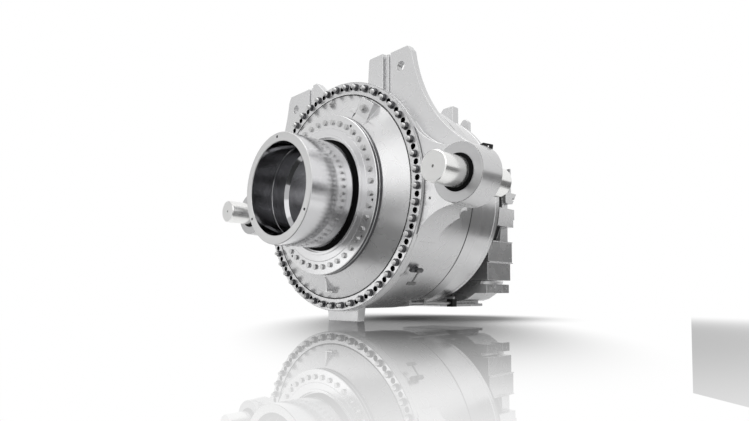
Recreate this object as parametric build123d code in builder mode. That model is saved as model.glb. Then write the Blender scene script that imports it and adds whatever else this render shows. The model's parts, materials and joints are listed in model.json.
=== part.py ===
# Gearbox of a wind turbine: a two-stage planetary drive hung on two torque pins.
# Millimetres. The main axis lies along +Y, from the rotor side to the generator side,
# +Z is up, and the origin is the centre of the input hub's front face.
from build123d import *
import math
import os

os.makedirs("parts", exist_ok=True)

# Input hub, the hollow shaft that takes the rotor shaft
hub_radius = 406
hub_bore_radius = 340
hub_bore_depth = 306
hub_lip_radius = 311
hub_lip_length = 26
hub_projection = 553
hub_edge_chamfer = 5
hub_line_depth = 188
hub_line_width = 5
hub_face_hole_radius = 10
hub_face_hole_circle = 376
hub_face_hole_count = 3
hub_face_hole_depth = 40
hub_journal_radius = 430
hub_journal_gap = 4
hub_journal_length = 134
hub_collar_radius = 475
hub_collar_length = 45
hub_rear_flange_radius = 520
hub_rear_flange_thickness = 60
seal_groove_front = 378
seal_groove_width = 44
seal_groove_radius = 385
seal_ring_lip_radius = 428
seal_ring_stand = 2

# Front cover, the cone with the bolted flange
cone_outer_radius = 790
stud_circle_setback = 60
stud_circle_radius = cone_outer_radius + stud_circle_setback
flange_margin = 43
flange_radius = stud_circle_radius + flange_margin
flange_thickness = 40
stud_count = 48
stud_radius = 18
stud_hole_clearance = 1
stud_first_angle = 88.125
stud_stand = 45
stud_engagement = 60
nut_across_flats = 55
nut_height = 29
washer_radius = 33
washer_thickness = 5
dowel_hole_radius = 20
cone_height = 91
cone_groove_width = 9
cone_groove_depth = 6
cone_wall = 52
spigot_step = 10
spigot_radius = cone_outer_radius + spigot_step
spigot_length = 20
cover_bore_radius = 540
cover_bearing_shoulder = 508
cover_hub_radius = 600
cover_hub_length = 158
fin_thickness = 22
fin_x = -15
fin_inner_gap = 18
fin_length_share = 0.65
fin_height = 76
fin_plate_width = 96
fin_plate_thickness = 12
pad_angle = 55.5
pad_setback = 7
pad_length_share = 0.744
pad_width = 150
pad_sink = 1.4

# Bearing cover on the front of the cone
bearing_cover_radius = 614
bearing_cover_thickness = 56
bearing_cover_bore_clearance = 6
bearing_cover_recess_radius = 440
bearing_cover_recess_depth = 20
bearing_cover_ridge_width = 20
bearing_cover_ridge_height = 8
bearing_cover_line_radius = 510
bearing_cover_groove_width = 5
cover_bolt_count = 40
cover_bolt_circle_radius = 553
cover_bolt_first_angle = 93
cover_bolt_across_flats = 36
cover_bolt_head_height = 15
cover_bolt_radius = 12
cover_bolt_length = 40
jacking_hole_radius = 10
jacking_hole_angles = [53.3, -10.7, -37.9, -129]

# Torque arm housing, the main casting
drum_step = 18
drum_radius = flange_radius - drum_step
drum_wall = 55
drum_length = 575
drum_end_ring_length = 70
arm_face_setback = 25
arm_spacing = 2400
arm_gap_to_flange = 4
boss_radius = 191
boss_rear_radius = 203
boss_length = 200
boss_face_forward = 28
arm_lower_fillet = 382
arm_upper_fillet = 510
arm_web_depth = 233
arm_scoop_radius = 239
arm_scoop_height = -391
arm_beam_half_height = 150
horn_setback = 81
horn_thickness = 56
horn_top = 1015
horn_rib_top = 1026
horn_outer_width_top = 729
horn_middle_x = 910
horn_middle_z = 514
horn_tip_x = 1207
horn_tip_z = 212
horn_corner_radius = 30
horn_edge_lean = 2
horn_edge_drop = 45
horn_hole_radius = 36
horn_hole_x = 629
horn_hole_z = 884
horn_rib_forward = 13
groove_width = 66
groove_depth = 22
groove_left_x = -402
groove_right_x = 496
rib_left_edge_x = -315
rib_right_edge_x = 328
rib_edge_flare = 48
rib_left_chamfer = 85
rib_right_chamfer = 10
foot_half_width = 170
foot_flare = 22
arm_hole_radius = 8
arm_hole_depth = 25
arm_hole_x = 937
arm_hole_z = -122
foot_bottom = -972
foot_front_setback = 82
foot_thickness = 75

# Torque pins
pin_radius = 98.5
pin_front_end = 286
pin_length = 717
pin_chamfer = 5
pin_seat_step = 1.5
pin_centre_hole_radius = 9
pin_centre_hole_depth = 30
pin_seal_radius = 120
pin_seal_length = 30
pin_seal_stand = 3
fit_clearance = 0.05

# Bulkhead that closes the hub's bore against the oil space
bulkhead_flange_radius = 385
bulkhead_flange_thickness = 30
bulkhead_spigot_length = 32

# First planetary stage
first_module = 20
first_ring_teeth = 75
first_planet_teeth = 30
first_sun_teeth = 15
first_ring_length = 362
first_ring_radius = 870
first_ring_band = 125
first_ring_rear_radius = 838
first_face_width = 310
first_planet_bore_radius = 205
first_pin_radius = 120
first_planet_angle = 90
planet_count = 3
carrier_radius = 680
carrier_front_plate = 85
carrier_rear_plate = 55
carrier_plate_gap = 18
carrier_column_radius = 95
carrier_column_circle = 565
carrier_neck_radius = 480
carrier_neck_wall = 80
carrier_journal_radius = 260
carrier_journal_bore = 200
carrier_journal_length = 95

# Intermediate housing between the stages
intermediate_length = 223
intermediate_front_length = 45
intermediate_edge_radius = 790
intermediate_edge_length = 28
intermediate_rear_radius = 733
intermediate_front_bore = 705
intermediate_wall_thickness = 50
intermediate_wall_setback = 92
intermediate_rear_bore = 560

# Second planetary stage
second_module = 16
second_ring_teeth = 72
second_planet_teeth = 27
second_sun_teeth = 18
second_face_width = 150
second_planet_bore_radius = 140
second_pin_radius = 80
second_planet_angle = 30
second_housing_radius = 655
second_housing_wall = 32
second_housing_length = 160
second_housing_flange = 30
second_carrier_radius = 535
second_carrier_plate = 50
second_column_radius = 60
second_column_circle = 440
second_journal_radius = 200
second_journal_bore = 130
second_journal_length = 70

# Gear teeth
pressure_angle = 20
ring_flank_clearance = 1.7
planet_flank_clearance = 0.5
addendum_factor = 1.0
dedendum_factor = 1.25

# Bearings
roller_clearance = 0.8
front_bearing_section = 52
middle_bearing_radius = 350
second_bearing_radius = 275
output_bearing_radius = 165

# Output shaft
output_shaft_radius = 100
output_collar_radius = 150
output_flange_radius = 250
output_flange_thickness = 45
output_flange_stand = 70
output_bolt_circle_radius = 205
output_bolt_hole_radius = 13.5
output_bolt_count = 12
output_pilot_depth = 12

# Rear housing with its castellated sides
rear_length = 250
rear_core_radius = 635
rear_bore = 560
rear_bearing_wall = 55
rear_bearing_wall_setback = 78
rear_back_bore = 400
rear_side_x = 632
rear_side_top = 330
rear_side_length = 120
rear_upper_pad_x = 690
rear_upper_pad_length = 292
rear_upper_pad_top = -13
rear_upper_pad_height = 160
rear_pad_step = 17
rear_pad_gap = 5
rear_drum_gap = 5
rear_tail_radius = 560
rear_lower_x = 598
rear_lower_inner_x = 400
rear_lower_top = -298
rear_lower_middle = -484
rear_lower_bottom = -638
rear_lower_length = 380
rear_rib = 9
rear_eye_height = 96
rear_eye_hole_radius = 13
rear_eye_hole_rise = 43
rear_cover_radius = 470
rear_cover_thickness = 45
rear_cover_bolt_count = 24
rear_cover_bolt_circle_radius = 430
rear_plate_thickness = 18
rear_plate_height = 225
seal_radius = 140

# Lifting lugs on the rear casings
lug_front_x = 287
lug_front_width = 154
lug_front_thickness = 82
lug_front_top = 896
lug_rear_x = 238
lug_rear_width = 84
lug_rear_thickness = 46
lug_rear_top = 880
lug_hole_radius = 20

# Oil pan under the rear casings, with its feet and the plate below
pan_outline = [(515, -643), (497, -686), (440, -755), (362, -802), (300, -820)]
pan_saddle_half_width = 395
pan_saddle_top = -300
pan_setback = 47
pan_length = 350
pan_neck_half_width = 240
pan_plate_half_width = 300
pan_plate_top = -845
pan_plate_bottom = -870
pan_plate_length = 470
pan_rise_height = 90
pan_rise_thickness = 22
pan_foot_bottom = -750
pan_foot_height = 78
pan_foot_x = 565
pan_foot_reach = 200
pan_foot_length = 115
pan_foot_plate = 22
pan_foot_spacing = 245
pan_foot_hole_radius = 11

# Oil connection in front of the pan and the pipe along the drum
connector_x = 305
connector_width = 60
connector_height = 68
connector_length = 62
connector_bolt_radius = 8
connector_bolt_setback = 12
pipe_radius = 14
pipe_reach = 560
pipe_clip_length = 30
pipe_clip_width = 44
pipe_clip_spacing = 190

# Valves, sensors and the cable bracket
valve_angle = -40.6
valve_y = 730
valve_body_radius = 14
valve_flange_radius = 23
valve_length = 46
valve_bar_length = 125
valve_bar_width = 26
lever_length = 104
lever_width = 11
lever_grip_length = 90
lever_grip_width = 26
lever_hub_radius = 12
lever_thickness = 8
lever_turn_gap = 0.3
bracket_thickness = 9
bracket_outline = [(29, 203), (59, 213), (128, 187), (122, 136), (62, 150)]
bracket_hole_place = (94, 181)
bracket_hole_radius = 8
sensor_radius = 19
sensor_stand = 34
sensor_hex = 50
cover_plug_setback = 59
cover_plug_angle = 89
breather_radius = 34
breather_hex_radius = 24
breather_height = 70
seam_chamfer = 4
seam_groove_width = 7
seam_groove_depth = 12

# Stations along the main axis
flange_y = hub_projection
cone_front_y = flange_y - cone_height
bearing_cover_y = cone_front_y - bearing_cover_thickness
cone_width = cone_outer_radius - bearing_cover_radius - seam_chamfer
cone_slope = math.atan2(cone_height, cone_width)
pad_length = pad_length_share * cone_width
pad_height = cone_height * (pad_setback + pad_length) / cone_width - pad_sink
pad_middle_radius = cone_outer_radius - pad_setback - pad_length / 2
fin_inner_radius = bearing_cover_radius + fin_inner_gap
fin_length = fin_length_share * cone_width
housing_y = flange_y + flange_thickness
arm_y = flange_y + arm_face_setback
first_ring_y = housing_y + drum_length
intermediate_y = first_ring_y + first_ring_length
second_housing_y = intermediate_y + intermediate_length
rear_y = second_housing_y + second_housing_length
rear_end_y = rear_y + rear_length
rear_cover_end_y = rear_end_y + rear_cover_thickness
arm_x = arm_spacing / 2
pin_seat_radius = pin_radius + pin_seat_step
first_gear_y = first_ring_y + (first_ring_length - first_face_width) / 2
first_gear_end_y = first_gear_y + first_face_width
second_gear_y = second_housing_y + (second_housing_length - second_face_width) / 2
second_gear_end_y = second_gear_y + second_face_width
hub_journal_y = cone_front_y + hub_journal_gap
hub_collar_y = hub_journal_y + hub_journal_length
hub_end_y = hub_collar_y + hub_collar_length + hub_rear_flange_thickness
front_bearing_end_y = hub_collar_y


def upright(y):
    """Plane across the main axis at y, seen from the front, with its normal to the front."""
    return Plane.XZ.offset(-y)


def half_section(*points):
    """Closed profile through (radius, y) points, to be turned about the main axis."""
    with BuildSketch(Plane.XY) as profile:
        with BuildLine():
            Polyline(*points, close=True)
        make_face()
    return profile.sketch


def ring_section(inner, outer, start, end):
    """Rectangular half section of a plain ring between two stations."""
    return half_section((inner, start), (outer, start), (outer, end), (inner, end))


def involute(angle):
    """Involute function of an angle in radians."""
    return math.tan(angle) - angle


def tooth_half_angle(radius, module, teeth, clearance):
    """Half angle of a tooth at a radius, thinned by the clearance on each flank."""
    pitch_radius = module * teeth / 2
    base_radius = pitch_radius * math.cos(math.radians(pressure_angle))
    flank = math.acos(min(1.0, base_radius / radius))
    nominal = math.pi / (2 * teeth) + involute(math.radians(pressure_angle)) - involute(flank)
    return nominal - clearance / radius


def gear_outline(module, teeth, phase, clearance, radii):
    """Toothed outline with straight facets; one tooth is centred on the phase angle."""
    points = []
    for number in range(teeth):
        centre = math.radians(phase + number * 360 / teeth)
        flank = [(r, tooth_half_angle(r, module, teeth, clearance)) for r in radii]
        rising = [(r, centre - half) for r, half in flank]
        falling = [(r, centre + half) for r, half in reversed(flank)]
        points += [(r * math.cos(a), r * math.sin(a)) for r, a in rising + falling]
    return points


def external_gear(module, teeth, phase, centre=(0, 0)):
    """Corner points of a sun or planet gear about its centre."""
    pitch = module * teeth / 2
    tip = pitch + addendum_factor * module
    root = pitch - dedendum_factor * module
    outline = gear_outline(module, teeth, phase, planet_flank_clearance, [root, pitch, tip])
    return [(x + centre[0], z + centre[1]) for x, z in outline]


def internal_gear(module, teeth):
    """Corner points of the space inside a ring gear; one space is centred on +X."""
    pitch = module * teeth / 2
    tip = pitch - addendum_factor * module
    root = pitch + dedendum_factor * module
    return gear_outline(module, teeth, 0, -ring_flank_clearance, [tip, root])


def planet_phase(angle, ring_teeth, planet_teeth):
    """Angle of a planet's tooth that stands in a space of the ring gear."""
    ring_pitch = 360 / ring_teeth
    return angle - (angle % ring_pitch) * ring_teeth / planet_teeth


def sun_phase(angle, ring_teeth, planet_teeth, sun_teeth):
    """Angle of a sun tooth, half a pitch from the space that takes the planet's tooth."""
    offset = (planet_phase(angle, ring_teeth, planet_teeth) - angle - 180) % (360 / planet_teeth)
    return angle - offset * planet_teeth / sun_teeth + 180 / sun_teeth


def polar(radius, angle):
    """Point in an upright plane at an angle from +X towards +Z."""
    return (radius * math.cos(math.radians(angle)), radius * math.sin(math.radians(angle)))


def bridge(big_radius, small_radius, fillet_radius, upper):
    """Tangent points and middle of an arc between the drum and a boss on the +X side."""
    big = big_radius + fillet_radius
    small = small_radius + fillet_radius
    x = (big ** 2 - small ** 2 + arm_x ** 2) / (2 * arm_x)
    z = math.sqrt(big ** 2 - x ** 2)
    on_drum = Vector(x, z) * (big_radius / big)
    on_boss = Vector(arm_x, 0) + (Vector(x, z) - Vector(arm_x, 0)) * (small_radius / small)
    inward = ((on_drum + on_boss) * 0.5 - Vector(x, z)).normalized()
    middle = Vector(x, z) + inward * fillet_radius
    sign = 1 if upper else -1
    return [(p.X, sign * p.Y) for p in (on_drum, middle, on_boss)]


def web_outline(side):
    """Front view of one arm: boss, drum and the two hollow curves that join them."""
    upper = bridge(flange_radius, boss_radius, arm_upper_fillet, True)
    lower = bridge(flange_radius, boss_radius, arm_lower_fillet, False)
    return [[(side * x, z) for x, z in curve] for curve in (upper, lower)]


# Torque arm housing: right arm web, hollowed below where it runs into the drum
arm_root_depth = arm_web_depth + arm_scoop_radius
boss_y = flange_y - boss_face_forward
boss_end_y = boss_y + boss_length
horn_y = flange_y + horn_setback
upper_curve, lower_curve = web_outline(1)
with BuildPart() as arm_web:
    with BuildSketch(upright(arm_y + arm_root_depth)):
        with BuildLine():
            ThreePointArc(*upper_curve)
            Polyline(upper_curve[2], (arm_x, 0), lower_curve[2])
            ThreePointArc(*lower_curve)
            Line(lower_curve[0], upper_curve[0])
        make_face()
    extrude(amount=arm_root_depth)
    with BuildSketch(Plane.YZ):
        scoop_start = (arm_y + arm_web_depth, arm_scoop_height)
        scoop_end = (arm_y + arm_root_depth, arm_scoop_height + arm_scoop_radius)
        with BuildLine():
            Polyline((arm_y, -drum_radius), (arm_y + arm_web_depth, -drum_radius), scoop_start)
            RadiusArc(scoop_start, scoop_end, arm_scoop_radius)
            Polyline(
                scoop_end,
                (arm_y + arm_root_depth, arm_beam_half_height),
                (horn_y + horn_thickness, arm_beam_half_height + arm_scoop_radius),
                (horn_y + horn_thickness, drum_radius),
                (arm_y, drum_radius),
                (arm_y, -drum_radius),
            )
        make_face()
    extrude(amount=arm_x + boss_radius, mode=Mode.INTERSECT)
    with BuildSketch(Plane.XY):
        with BuildLine():
            plan_start = (arm_x - boss_radius / 2, boss_end_y - seam_chamfer)
            plan_end = (drum_radius + drum_wall / 2, arm_y + arm_root_depth)
            plan_middle = (plan_end[0] + drum_wall, (plan_start[1] + plan_end[1]) / 2)
            ThreePointArc(plan_start, plan_middle, plan_end)
            Polyline(
                plan_end,
                (drum_radius / 2, arm_y + arm_root_depth),
                (drum_radius / 2, arm_y),
                (arm_x, arm_y),
                (arm_x, boss_end_y - seam_chamfer),
                plan_start,
            )
        make_face()
    extrude(amount=drum_radius, both=True, mode=Mode.INTERSECT)


with BuildPart() as torque_arm_housing:
    revolve(
        half_section(
            (0, housing_y),
            (flange_radius, housing_y),
            (flange_radius, housing_y + flange_thickness),
            (drum_radius, housing_y + flange_thickness + flange_radius - drum_radius),
            (drum_radius, first_ring_y - seam_groove_width),
            (drum_radius - seam_groove_depth, first_ring_y - seam_groove_width),
            (drum_radius - seam_groove_depth, first_ring_y),
            (0, first_ring_y),
        ),
        axis=Axis.Y,
    )
    add(arm_web.part)
    add(mirror(arm_web.part, about=Plane.YZ, mode=Mode.PRIVATE))
    # Horns with their lifting holes
    for side, groove_x, rib_x, rib_chamfer in (
        (1, groove_right_x, rib_right_edge_x, rib_right_chamfer),
        (-1, groove_left_x, rib_left_edge_x, rib_left_chamfer),
    ):
        groove_outer = groove_x + side * groove_width / 2
        groove_inner = groove_x - side * groove_width / 2
        with BuildSketch(upright(horn_y + horn_thickness)):
            with BuildLine():
                top_corner = (side * (horn_outer_width_top - horn_corner_radius), horn_top)
                edge_start = (side * (horn_outer_width_top + horn_edge_lean), horn_top - horn_edge_drop)
                Polyline((groove_outer, drum_radius / 2), (groove_outer, horn_top), top_corner, edge_start)
                edge_middle = (side * horn_middle_x, horn_middle_z)
                ThreePointArc(edge_start, edge_middle, (side * horn_tip_x, horn_tip_z))
                Polyline((side * horn_tip_x, horn_tip_z), (side * arm_x, 0), (groove_outer, drum_radius / 2))
            make_face()
        extrude(amount=horn_thickness)
        with BuildSketch(upright(horn_y + horn_thickness)):
            with BuildLine():
                Polyline(
                    (groove_inner, horn_rib_top),
                    (rib_x, horn_rib_top),
                    (rib_x - side * rib_chamfer, horn_rib_top - rib_chamfer),
                    (rib_x - side * (rib_edge_flare + rib_chamfer), drum_radius / 2),
                    (groove_inner, drum_radius / 2),
                    close=True,
                )
            make_face()
        extrude(amount=horn_thickness + horn_rib_forward)
        with BuildSketch(upright(horn_y + horn_thickness)):
            with Locations((groove_x, (horn_top + drum_radius / 2) / 2)):
                Rectangle(groove_width, horn_top - drum_radius / 2)
        extrude(amount=horn_thickness - groove_depth)
        with BuildSketch(upright(horn_y + horn_thickness)):
            with Locations((groove_x, (horn_top + drum_radius / 2) / 2)):
                Rectangle(groove_width / 3, horn_top - drum_radius / 2)
        extrude(amount=horn_thickness - groove_depth / 4)
        with BuildSketch(upright(horn_y + horn_thickness)):
            with Locations((side * horn_hole_x, horn_hole_z)):
                Circle(horn_hole_radius)
        extrude(amount=horn_thickness, mode=Mode.SUBTRACT)
    # Foot below the drum
    with BuildSketch(upright(flange_y + foot_front_setback + foot_thickness)):
        with BuildLine():
            Polyline(
                (-foot_half_width, foot_bottom),
                (foot_half_width, foot_bottom),
                (foot_half_width + foot_flare, -drum_radius + drum_wall),
                (-foot_half_width - foot_flare, -drum_radius + drum_wall),
                close=True,
            )
        make_face()
    extrude(amount=foot_thickness)
    # Bosses for the torque pins
    for side in (1, -1):
        boss_axis = Axis((side * arm_x, 0, 0), (0, 1, 0))
        boss_profile = half_section(
            (side * arm_x, boss_y),
            (side * (arm_x + boss_radius - seam_chamfer), boss_y),
            (side * (arm_x + boss_radius), boss_y + seam_chamfer),
            (side * (arm_x + boss_rear_radius), boss_end_y - seam_chamfer),
            (side * (arm_x + boss_rear_radius - seam_chamfer), boss_end_y),
            (side * arm_x, boss_end_y),
        )
        revolve(boss_profile, axis=boss_axis)
    # Inside of the drum, the seat of the front cover and the bores of the pins
    bore = drum_radius - drum_wall
    step = bore - spigot_radius
    revolve(
        half_section(
            (0, boss_y - seam_chamfer),
            (flange_radius + arm_gap_to_flange, boss_y - seam_chamfer),
            (flange_radius + arm_gap_to_flange, housing_y),
            (spigot_radius, housing_y),
            (spigot_radius, housing_y + drum_end_ring_length),
            (bore, housing_y + drum_end_ring_length + step),
            (bore, first_ring_y - drum_end_ring_length - step),
            (spigot_radius, first_ring_y - drum_end_ring_length),
            (spigot_radius, first_ring_y),
            (0, first_ring_y),
        ),
        axis=Axis.Y,
        mode=Mode.SUBTRACT,
    )
    for side in (1, -1):
        with BuildSketch(upright(boss_end_y)):
            with Locations((side * arm_x, 0)):
                Circle(pin_seat_radius + fit_clearance)
        extrude(amount=boss_length, mode=Mode.SUBTRACT)
        with BuildSketch(upright(boss_y + pin_seal_length)):
            with Locations((side * arm_x, 0)):
                Circle(pin_seal_radius)
        extrude(amount=pin_seal_length, mode=Mode.SUBTRACT)
    with BuildSketch(upright(housing_y + stud_engagement)):
        with PolarLocations(stud_circle_radius, stud_count, stud_first_angle):
            Circle(stud_radius + fit_clearance)
        with PolarLocations(stud_circle_radius, stud_count, stud_first_angle + 180 / stud_count):
            Circle(dowel_hole_radius)
    extrude(amount=stud_engagement, mode=Mode.SUBTRACT)
    with BuildSketch(upright(arm_y + arm_hole_depth)):
        with Locations((arm_hole_x, arm_hole_z), (-arm_hole_x, arm_hole_z)):
            Circle(arm_hole_radius)
    extrude(amount=arm_hole_depth + seam_chamfer, mode=Mode.SUBTRACT)
torque_arm_housing.part.label = "torque_arm_housing"
export_step(torque_arm_housing.part, "parts/torque_arm_housing.step")


# Front cover: cone, bolted flange, spigot and the seat of the front bearing
cover_back = cone_wall + cone_height * (cover_hub_radius - bearing_cover_radius) / cone_outer_radius
with BuildPart() as front_cover:
    revolve(
        half_section(
            (cover_bore_radius, cone_front_y),
            (bearing_cover_radius + seam_chamfer, cone_front_y),
            (cone_outer_radius, flange_y),
            (cone_outer_radius + cone_groove_width / 3, flange_y + cone_groove_depth),
            (cone_outer_radius + cone_groove_width * 2 / 3, flange_y + cone_groove_depth),
            (cone_outer_radius + cone_groove_width, flange_y),
            (flange_radius - seam_chamfer, flange_y),
            (flange_radius, flange_y + seam_chamfer),
            (flange_radius, housing_y),
            (spigot_radius - fit_clearance, housing_y),
            (spigot_radius - fit_clearance, housing_y + spigot_length),
            (spigot_radius - cone_wall, housing_y + spigot_length),
            (cover_hub_radius, cone_front_y + cover_back),
            (cover_hub_radius, cone_front_y + cover_hub_length),
            (cover_bearing_shoulder, cone_front_y + cover_hub_length),
            (cover_bearing_shoulder, front_bearing_end_y),
            (cover_bore_radius, front_bearing_end_y),
        ),
        axis=Axis.Y,
    )
    # Pad for the sensor, flat and square to the axis
    with BuildSketch(upright(flange_y)):
        with Locations(Rot(0, 0, pad_angle) * Pos(pad_middle_radius, 0)):
            Rectangle(pad_length, pad_width)
    extrude(amount=pad_height)
    # Fin at the bottom of the cone, with its end plate
    with BuildSketch(Plane.YZ.offset(fin_x - fin_thickness / 2)):
        with BuildLine():
            Polyline(
                (flange_y, -fin_inner_radius),
                (cone_front_y, -fin_inner_radius),
                (flange_y - fin_height, -fin_inner_radius - fin_length / 2),
                (flange_y - fin_height, -fin_inner_radius - fin_length),
                (flange_y, -fin_inner_radius - fin_length),
                close=True,
            )
        make_face()
    extrude(amount=fin_thickness)
    with BuildSketch(upright(flange_y)):
        with Locations((fin_x + fin_plate_width / 4, -fin_inner_radius - fin_length)):
            Rectangle(fin_plate_width, fin_plate_thickness)
    extrude(amount=fin_height)
    # Open dowel holes between the stud holes
    half_pitch = 180 / stud_count
    with BuildSketch(upright(housing_y)):
        with PolarLocations(stud_circle_radius, stud_count, stud_first_angle):
            Circle(stud_radius + stud_hole_clearance)
        with PolarLocations(stud_circle_radius, stud_count, stud_first_angle + half_pitch):
            Circle(dowel_hole_radius)
    extrude(amount=flange_thickness, mode=Mode.SUBTRACT)
front_cover.part.label = "front_cover"
export_step(front_cover.part, "parts/front_cover.step")

# Studs of the front flange, each with its washer and nut
nut_corner_radius = nut_across_flats / math.sqrt(3)
with BuildPart() as flange_studs:
    with BuildSketch(upright(housing_y + stud_engagement - seam_chamfer)):
        with PolarLocations(stud_circle_radius, stud_count, stud_first_angle):
            Circle(stud_radius)
    extrude(amount=flange_thickness + stud_engagement - seam_chamfer + stud_stand)
    with BuildSketch(upright(flange_y)):
        with PolarLocations(stud_circle_radius, stud_count, stud_first_angle):
            Circle(washer_radius)
    extrude(amount=washer_thickness)
    with BuildSketch(upright(flange_y - washer_thickness)):
        with PolarLocations(stud_circle_radius, stud_count, stud_first_angle):
            RegularPolygon(nut_corner_radius, 6)
    extrude(amount=nut_height)
flange_studs.part.label = "flange_studs"
export_step(flange_studs.part, "parts/flange_studs.step")

# Bearing cover with its recess round the hub, a ridge and two turned grooves
bearing_cover_bore = hub_radius + bearing_cover_bore_clearance
line_half = bearing_cover_groove_width / 2
cover_middle_y = (bearing_cover_y + cone_front_y) / 2
ridge_radius = bearing_cover_recess_radius + bearing_cover_ridge_width
with BuildPart() as bearing_cover:
    revolve(
        half_section(
            (bearing_cover_bore, bearing_cover_y + bearing_cover_recess_depth),
            (bearing_cover_recess_radius, bearing_cover_y + bearing_cover_recess_depth),
            (bearing_cover_recess_radius, bearing_cover_y - bearing_cover_ridge_height),
            (ridge_radius, bearing_cover_y - bearing_cover_ridge_height),
            (ridge_radius, bearing_cover_y),
            (bearing_cover_line_radius - line_half, bearing_cover_y),
            (bearing_cover_line_radius, bearing_cover_y + line_half),
            (bearing_cover_line_radius + line_half, bearing_cover_y),
            (bearing_cover_radius - seam_chamfer, bearing_cover_y),
            (bearing_cover_radius, bearing_cover_y + seam_chamfer),
            (bearing_cover_radius, cover_middle_y - line_half),
            (bearing_cover_radius - line_half, cover_middle_y),
            (bearing_cover_radius, cover_middle_y + line_half),
            (bearing_cover_radius, cone_front_y),
            (bearing_cover_bore, cone_front_y),
        ),
        axis=Axis.Y,
    )
    with BuildSketch(upright(cone_front_y)):
        jacking_circle = cover_bolt_circle_radius + 2 * cover_bolt_radius
        with Locations(*[polar(jacking_circle, angle) for angle in jacking_hole_angles]):
            Circle(jacking_hole_radius)
    extrude(amount=bearing_cover_thickness, mode=Mode.SUBTRACT)
    with BuildSketch(upright(bearing_cover_y + cover_bolt_length)):
        with PolarLocations(cover_bolt_circle_radius, cover_bolt_count, cover_bolt_first_angle):
            Circle(cover_bolt_radius)
    extrude(amount=cover_bolt_length, mode=Mode.SUBTRACT)
bearing_cover.part.label = "bearing_cover"
export_step(bearing_cover.part, "parts/bearing_cover.step")

# Hexagon bolts of the bearing cover
with BuildPart() as cover_bolts:
    with BuildSketch(upright(bearing_cover_y + cover_bolt_length - seam_chamfer)):
        with PolarLocations(cover_bolt_circle_radius, cover_bolt_count, cover_bolt_first_angle):
            Circle(cover_bolt_radius - fit_clearance)
    extrude(amount=cover_bolt_length - seam_chamfer)
    with BuildSketch(upright(bearing_cover_y)):
        with PolarLocations(cover_bolt_circle_radius, cover_bolt_count, cover_bolt_first_angle):
            RegularPolygon(cover_bolt_across_flats / math.sqrt(3), 6)
    extrude(amount=cover_bolt_head_height)
cover_bolts.part.label = "cover_bolts"
export_step(cover_bolts.part, "parts/cover_bolts.step")

# Torque pins, their black seal rings and the holders behind the bosses
for side, name in ((1, "right"), (-1, "left")):
    pin_axis = Axis((side * arm_x, 0, 0), (0, 1, 0))
    centre = side * arm_x
    pin_end = pin_front_end + pin_length
    with BuildPart() as torque_pin:
        pin_profile = half_section(
            (centre, pin_front_end + pin_centre_hole_depth),
            (centre + side * pin_centre_hole_radius, pin_front_end + pin_centre_hole_depth),
            (centre + side * pin_centre_hole_radius, pin_front_end),
            (centre + side * (pin_radius - pin_chamfer), pin_front_end),
            (centre + side * pin_radius, pin_front_end + pin_chamfer),
            (centre + side * pin_radius, boss_y - pin_seal_stand),
            (centre + side * pin_seat_radius, boss_y - pin_seal_stand),
            (centre + side * pin_seat_radius, boss_end_y),
            (centre + side * pin_radius, boss_end_y),
            (centre + side * pin_radius, pin_end - pin_chamfer),
            (centre + side * (pin_radius - pin_chamfer), pin_end),
            (centre, pin_end),
        )
        revolve(pin_profile, axis=pin_axis)
    torque_pin.part.label = "torque_pin_" + name
    export_step(torque_pin.part, "parts/torque_pin_" + name + ".step")
    with BuildPart() as pin_seal:
        with BuildSketch(upright(boss_y + pin_seal_length)):
            with Locations((centre, 0)):
                Circle(pin_seal_radius - fit_clearance)
                Circle(pin_seat_radius + fit_clearance, mode=Mode.SUBTRACT)
        extrude(amount=pin_seal_length + pin_seal_stand)
    pin_seal.part.label = "pin_seal_" + name
    export_step(pin_seal.part, "parts/pin_seal_" + name + ".step")

# Input hub, a hollow shaft with the seal groove, the bearing journal and a rear flange
with BuildPart() as input_hub:
    revolve(
        half_section(
            (hub_bore_radius + hub_edge_chamfer, 0),
            (hub_radius - hub_edge_chamfer, 0),
            (hub_radius, hub_edge_chamfer),
            (hub_radius, seal_groove_front - hub_edge_chamfer),
            (hub_radius - hub_edge_chamfer, seal_groove_front),
            (seal_groove_radius, seal_groove_front),
            (seal_groove_radius, seal_groove_front + seal_groove_width),
            (hub_radius, seal_groove_front + seal_groove_width),
            (hub_radius, hub_journal_y),
            (hub_journal_radius, hub_journal_y),
            (hub_journal_radius, hub_collar_y),
            (hub_collar_radius, hub_collar_y),
            (hub_collar_radius, hub_collar_y + hub_collar_length),
            (hub_rear_flange_radius, hub_collar_y + hub_collar_length),
            (hub_rear_flange_radius, hub_end_y),
            (hub_lip_radius, hub_end_y),
            (hub_lip_radius, hub_bore_depth + hub_lip_length),
            (hub_bore_radius, hub_bore_depth),
            (hub_bore_radius, hub_line_depth + hub_line_width),
            (hub_bore_radius + hub_line_width / 2, hub_line_depth + hub_line_width / 2),
            (hub_bore_radius, hub_line_depth),
            (hub_bore_radius, hub_edge_chamfer),
        ),
        axis=Axis.Y,
    )
    with BuildSketch(upright(hub_face_hole_depth)):
        with PolarLocations(hub_face_hole_circle, hub_face_hole_count, 90):
            Circle(hub_face_hole_radius)
    extrude(amount=hub_face_hole_depth, mode=Mode.SUBTRACT)
input_hub.part.label = "input_hub"
export_step(input_hub.part, "parts/input_hub.step")

# Bulkhead in the hub's rear end, with its flange behind the hub
with BuildPart() as hub_bulkhead:
    with BuildSketch(upright(hub_end_y)):
        Circle(hub_lip_radius - fit_clearance)
    extrude(amount=bulkhead_spigot_length)
    with BuildSketch(upright(hub_end_y + bulkhead_flange_thickness)):
        Circle(bulkhead_flange_radius)
    extrude(amount=bulkhead_flange_thickness)
hub_bulkhead.part.label = "hub_bulkhead"
export_step(hub_bulkhead.part, "parts/hub_bulkhead.step")

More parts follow.
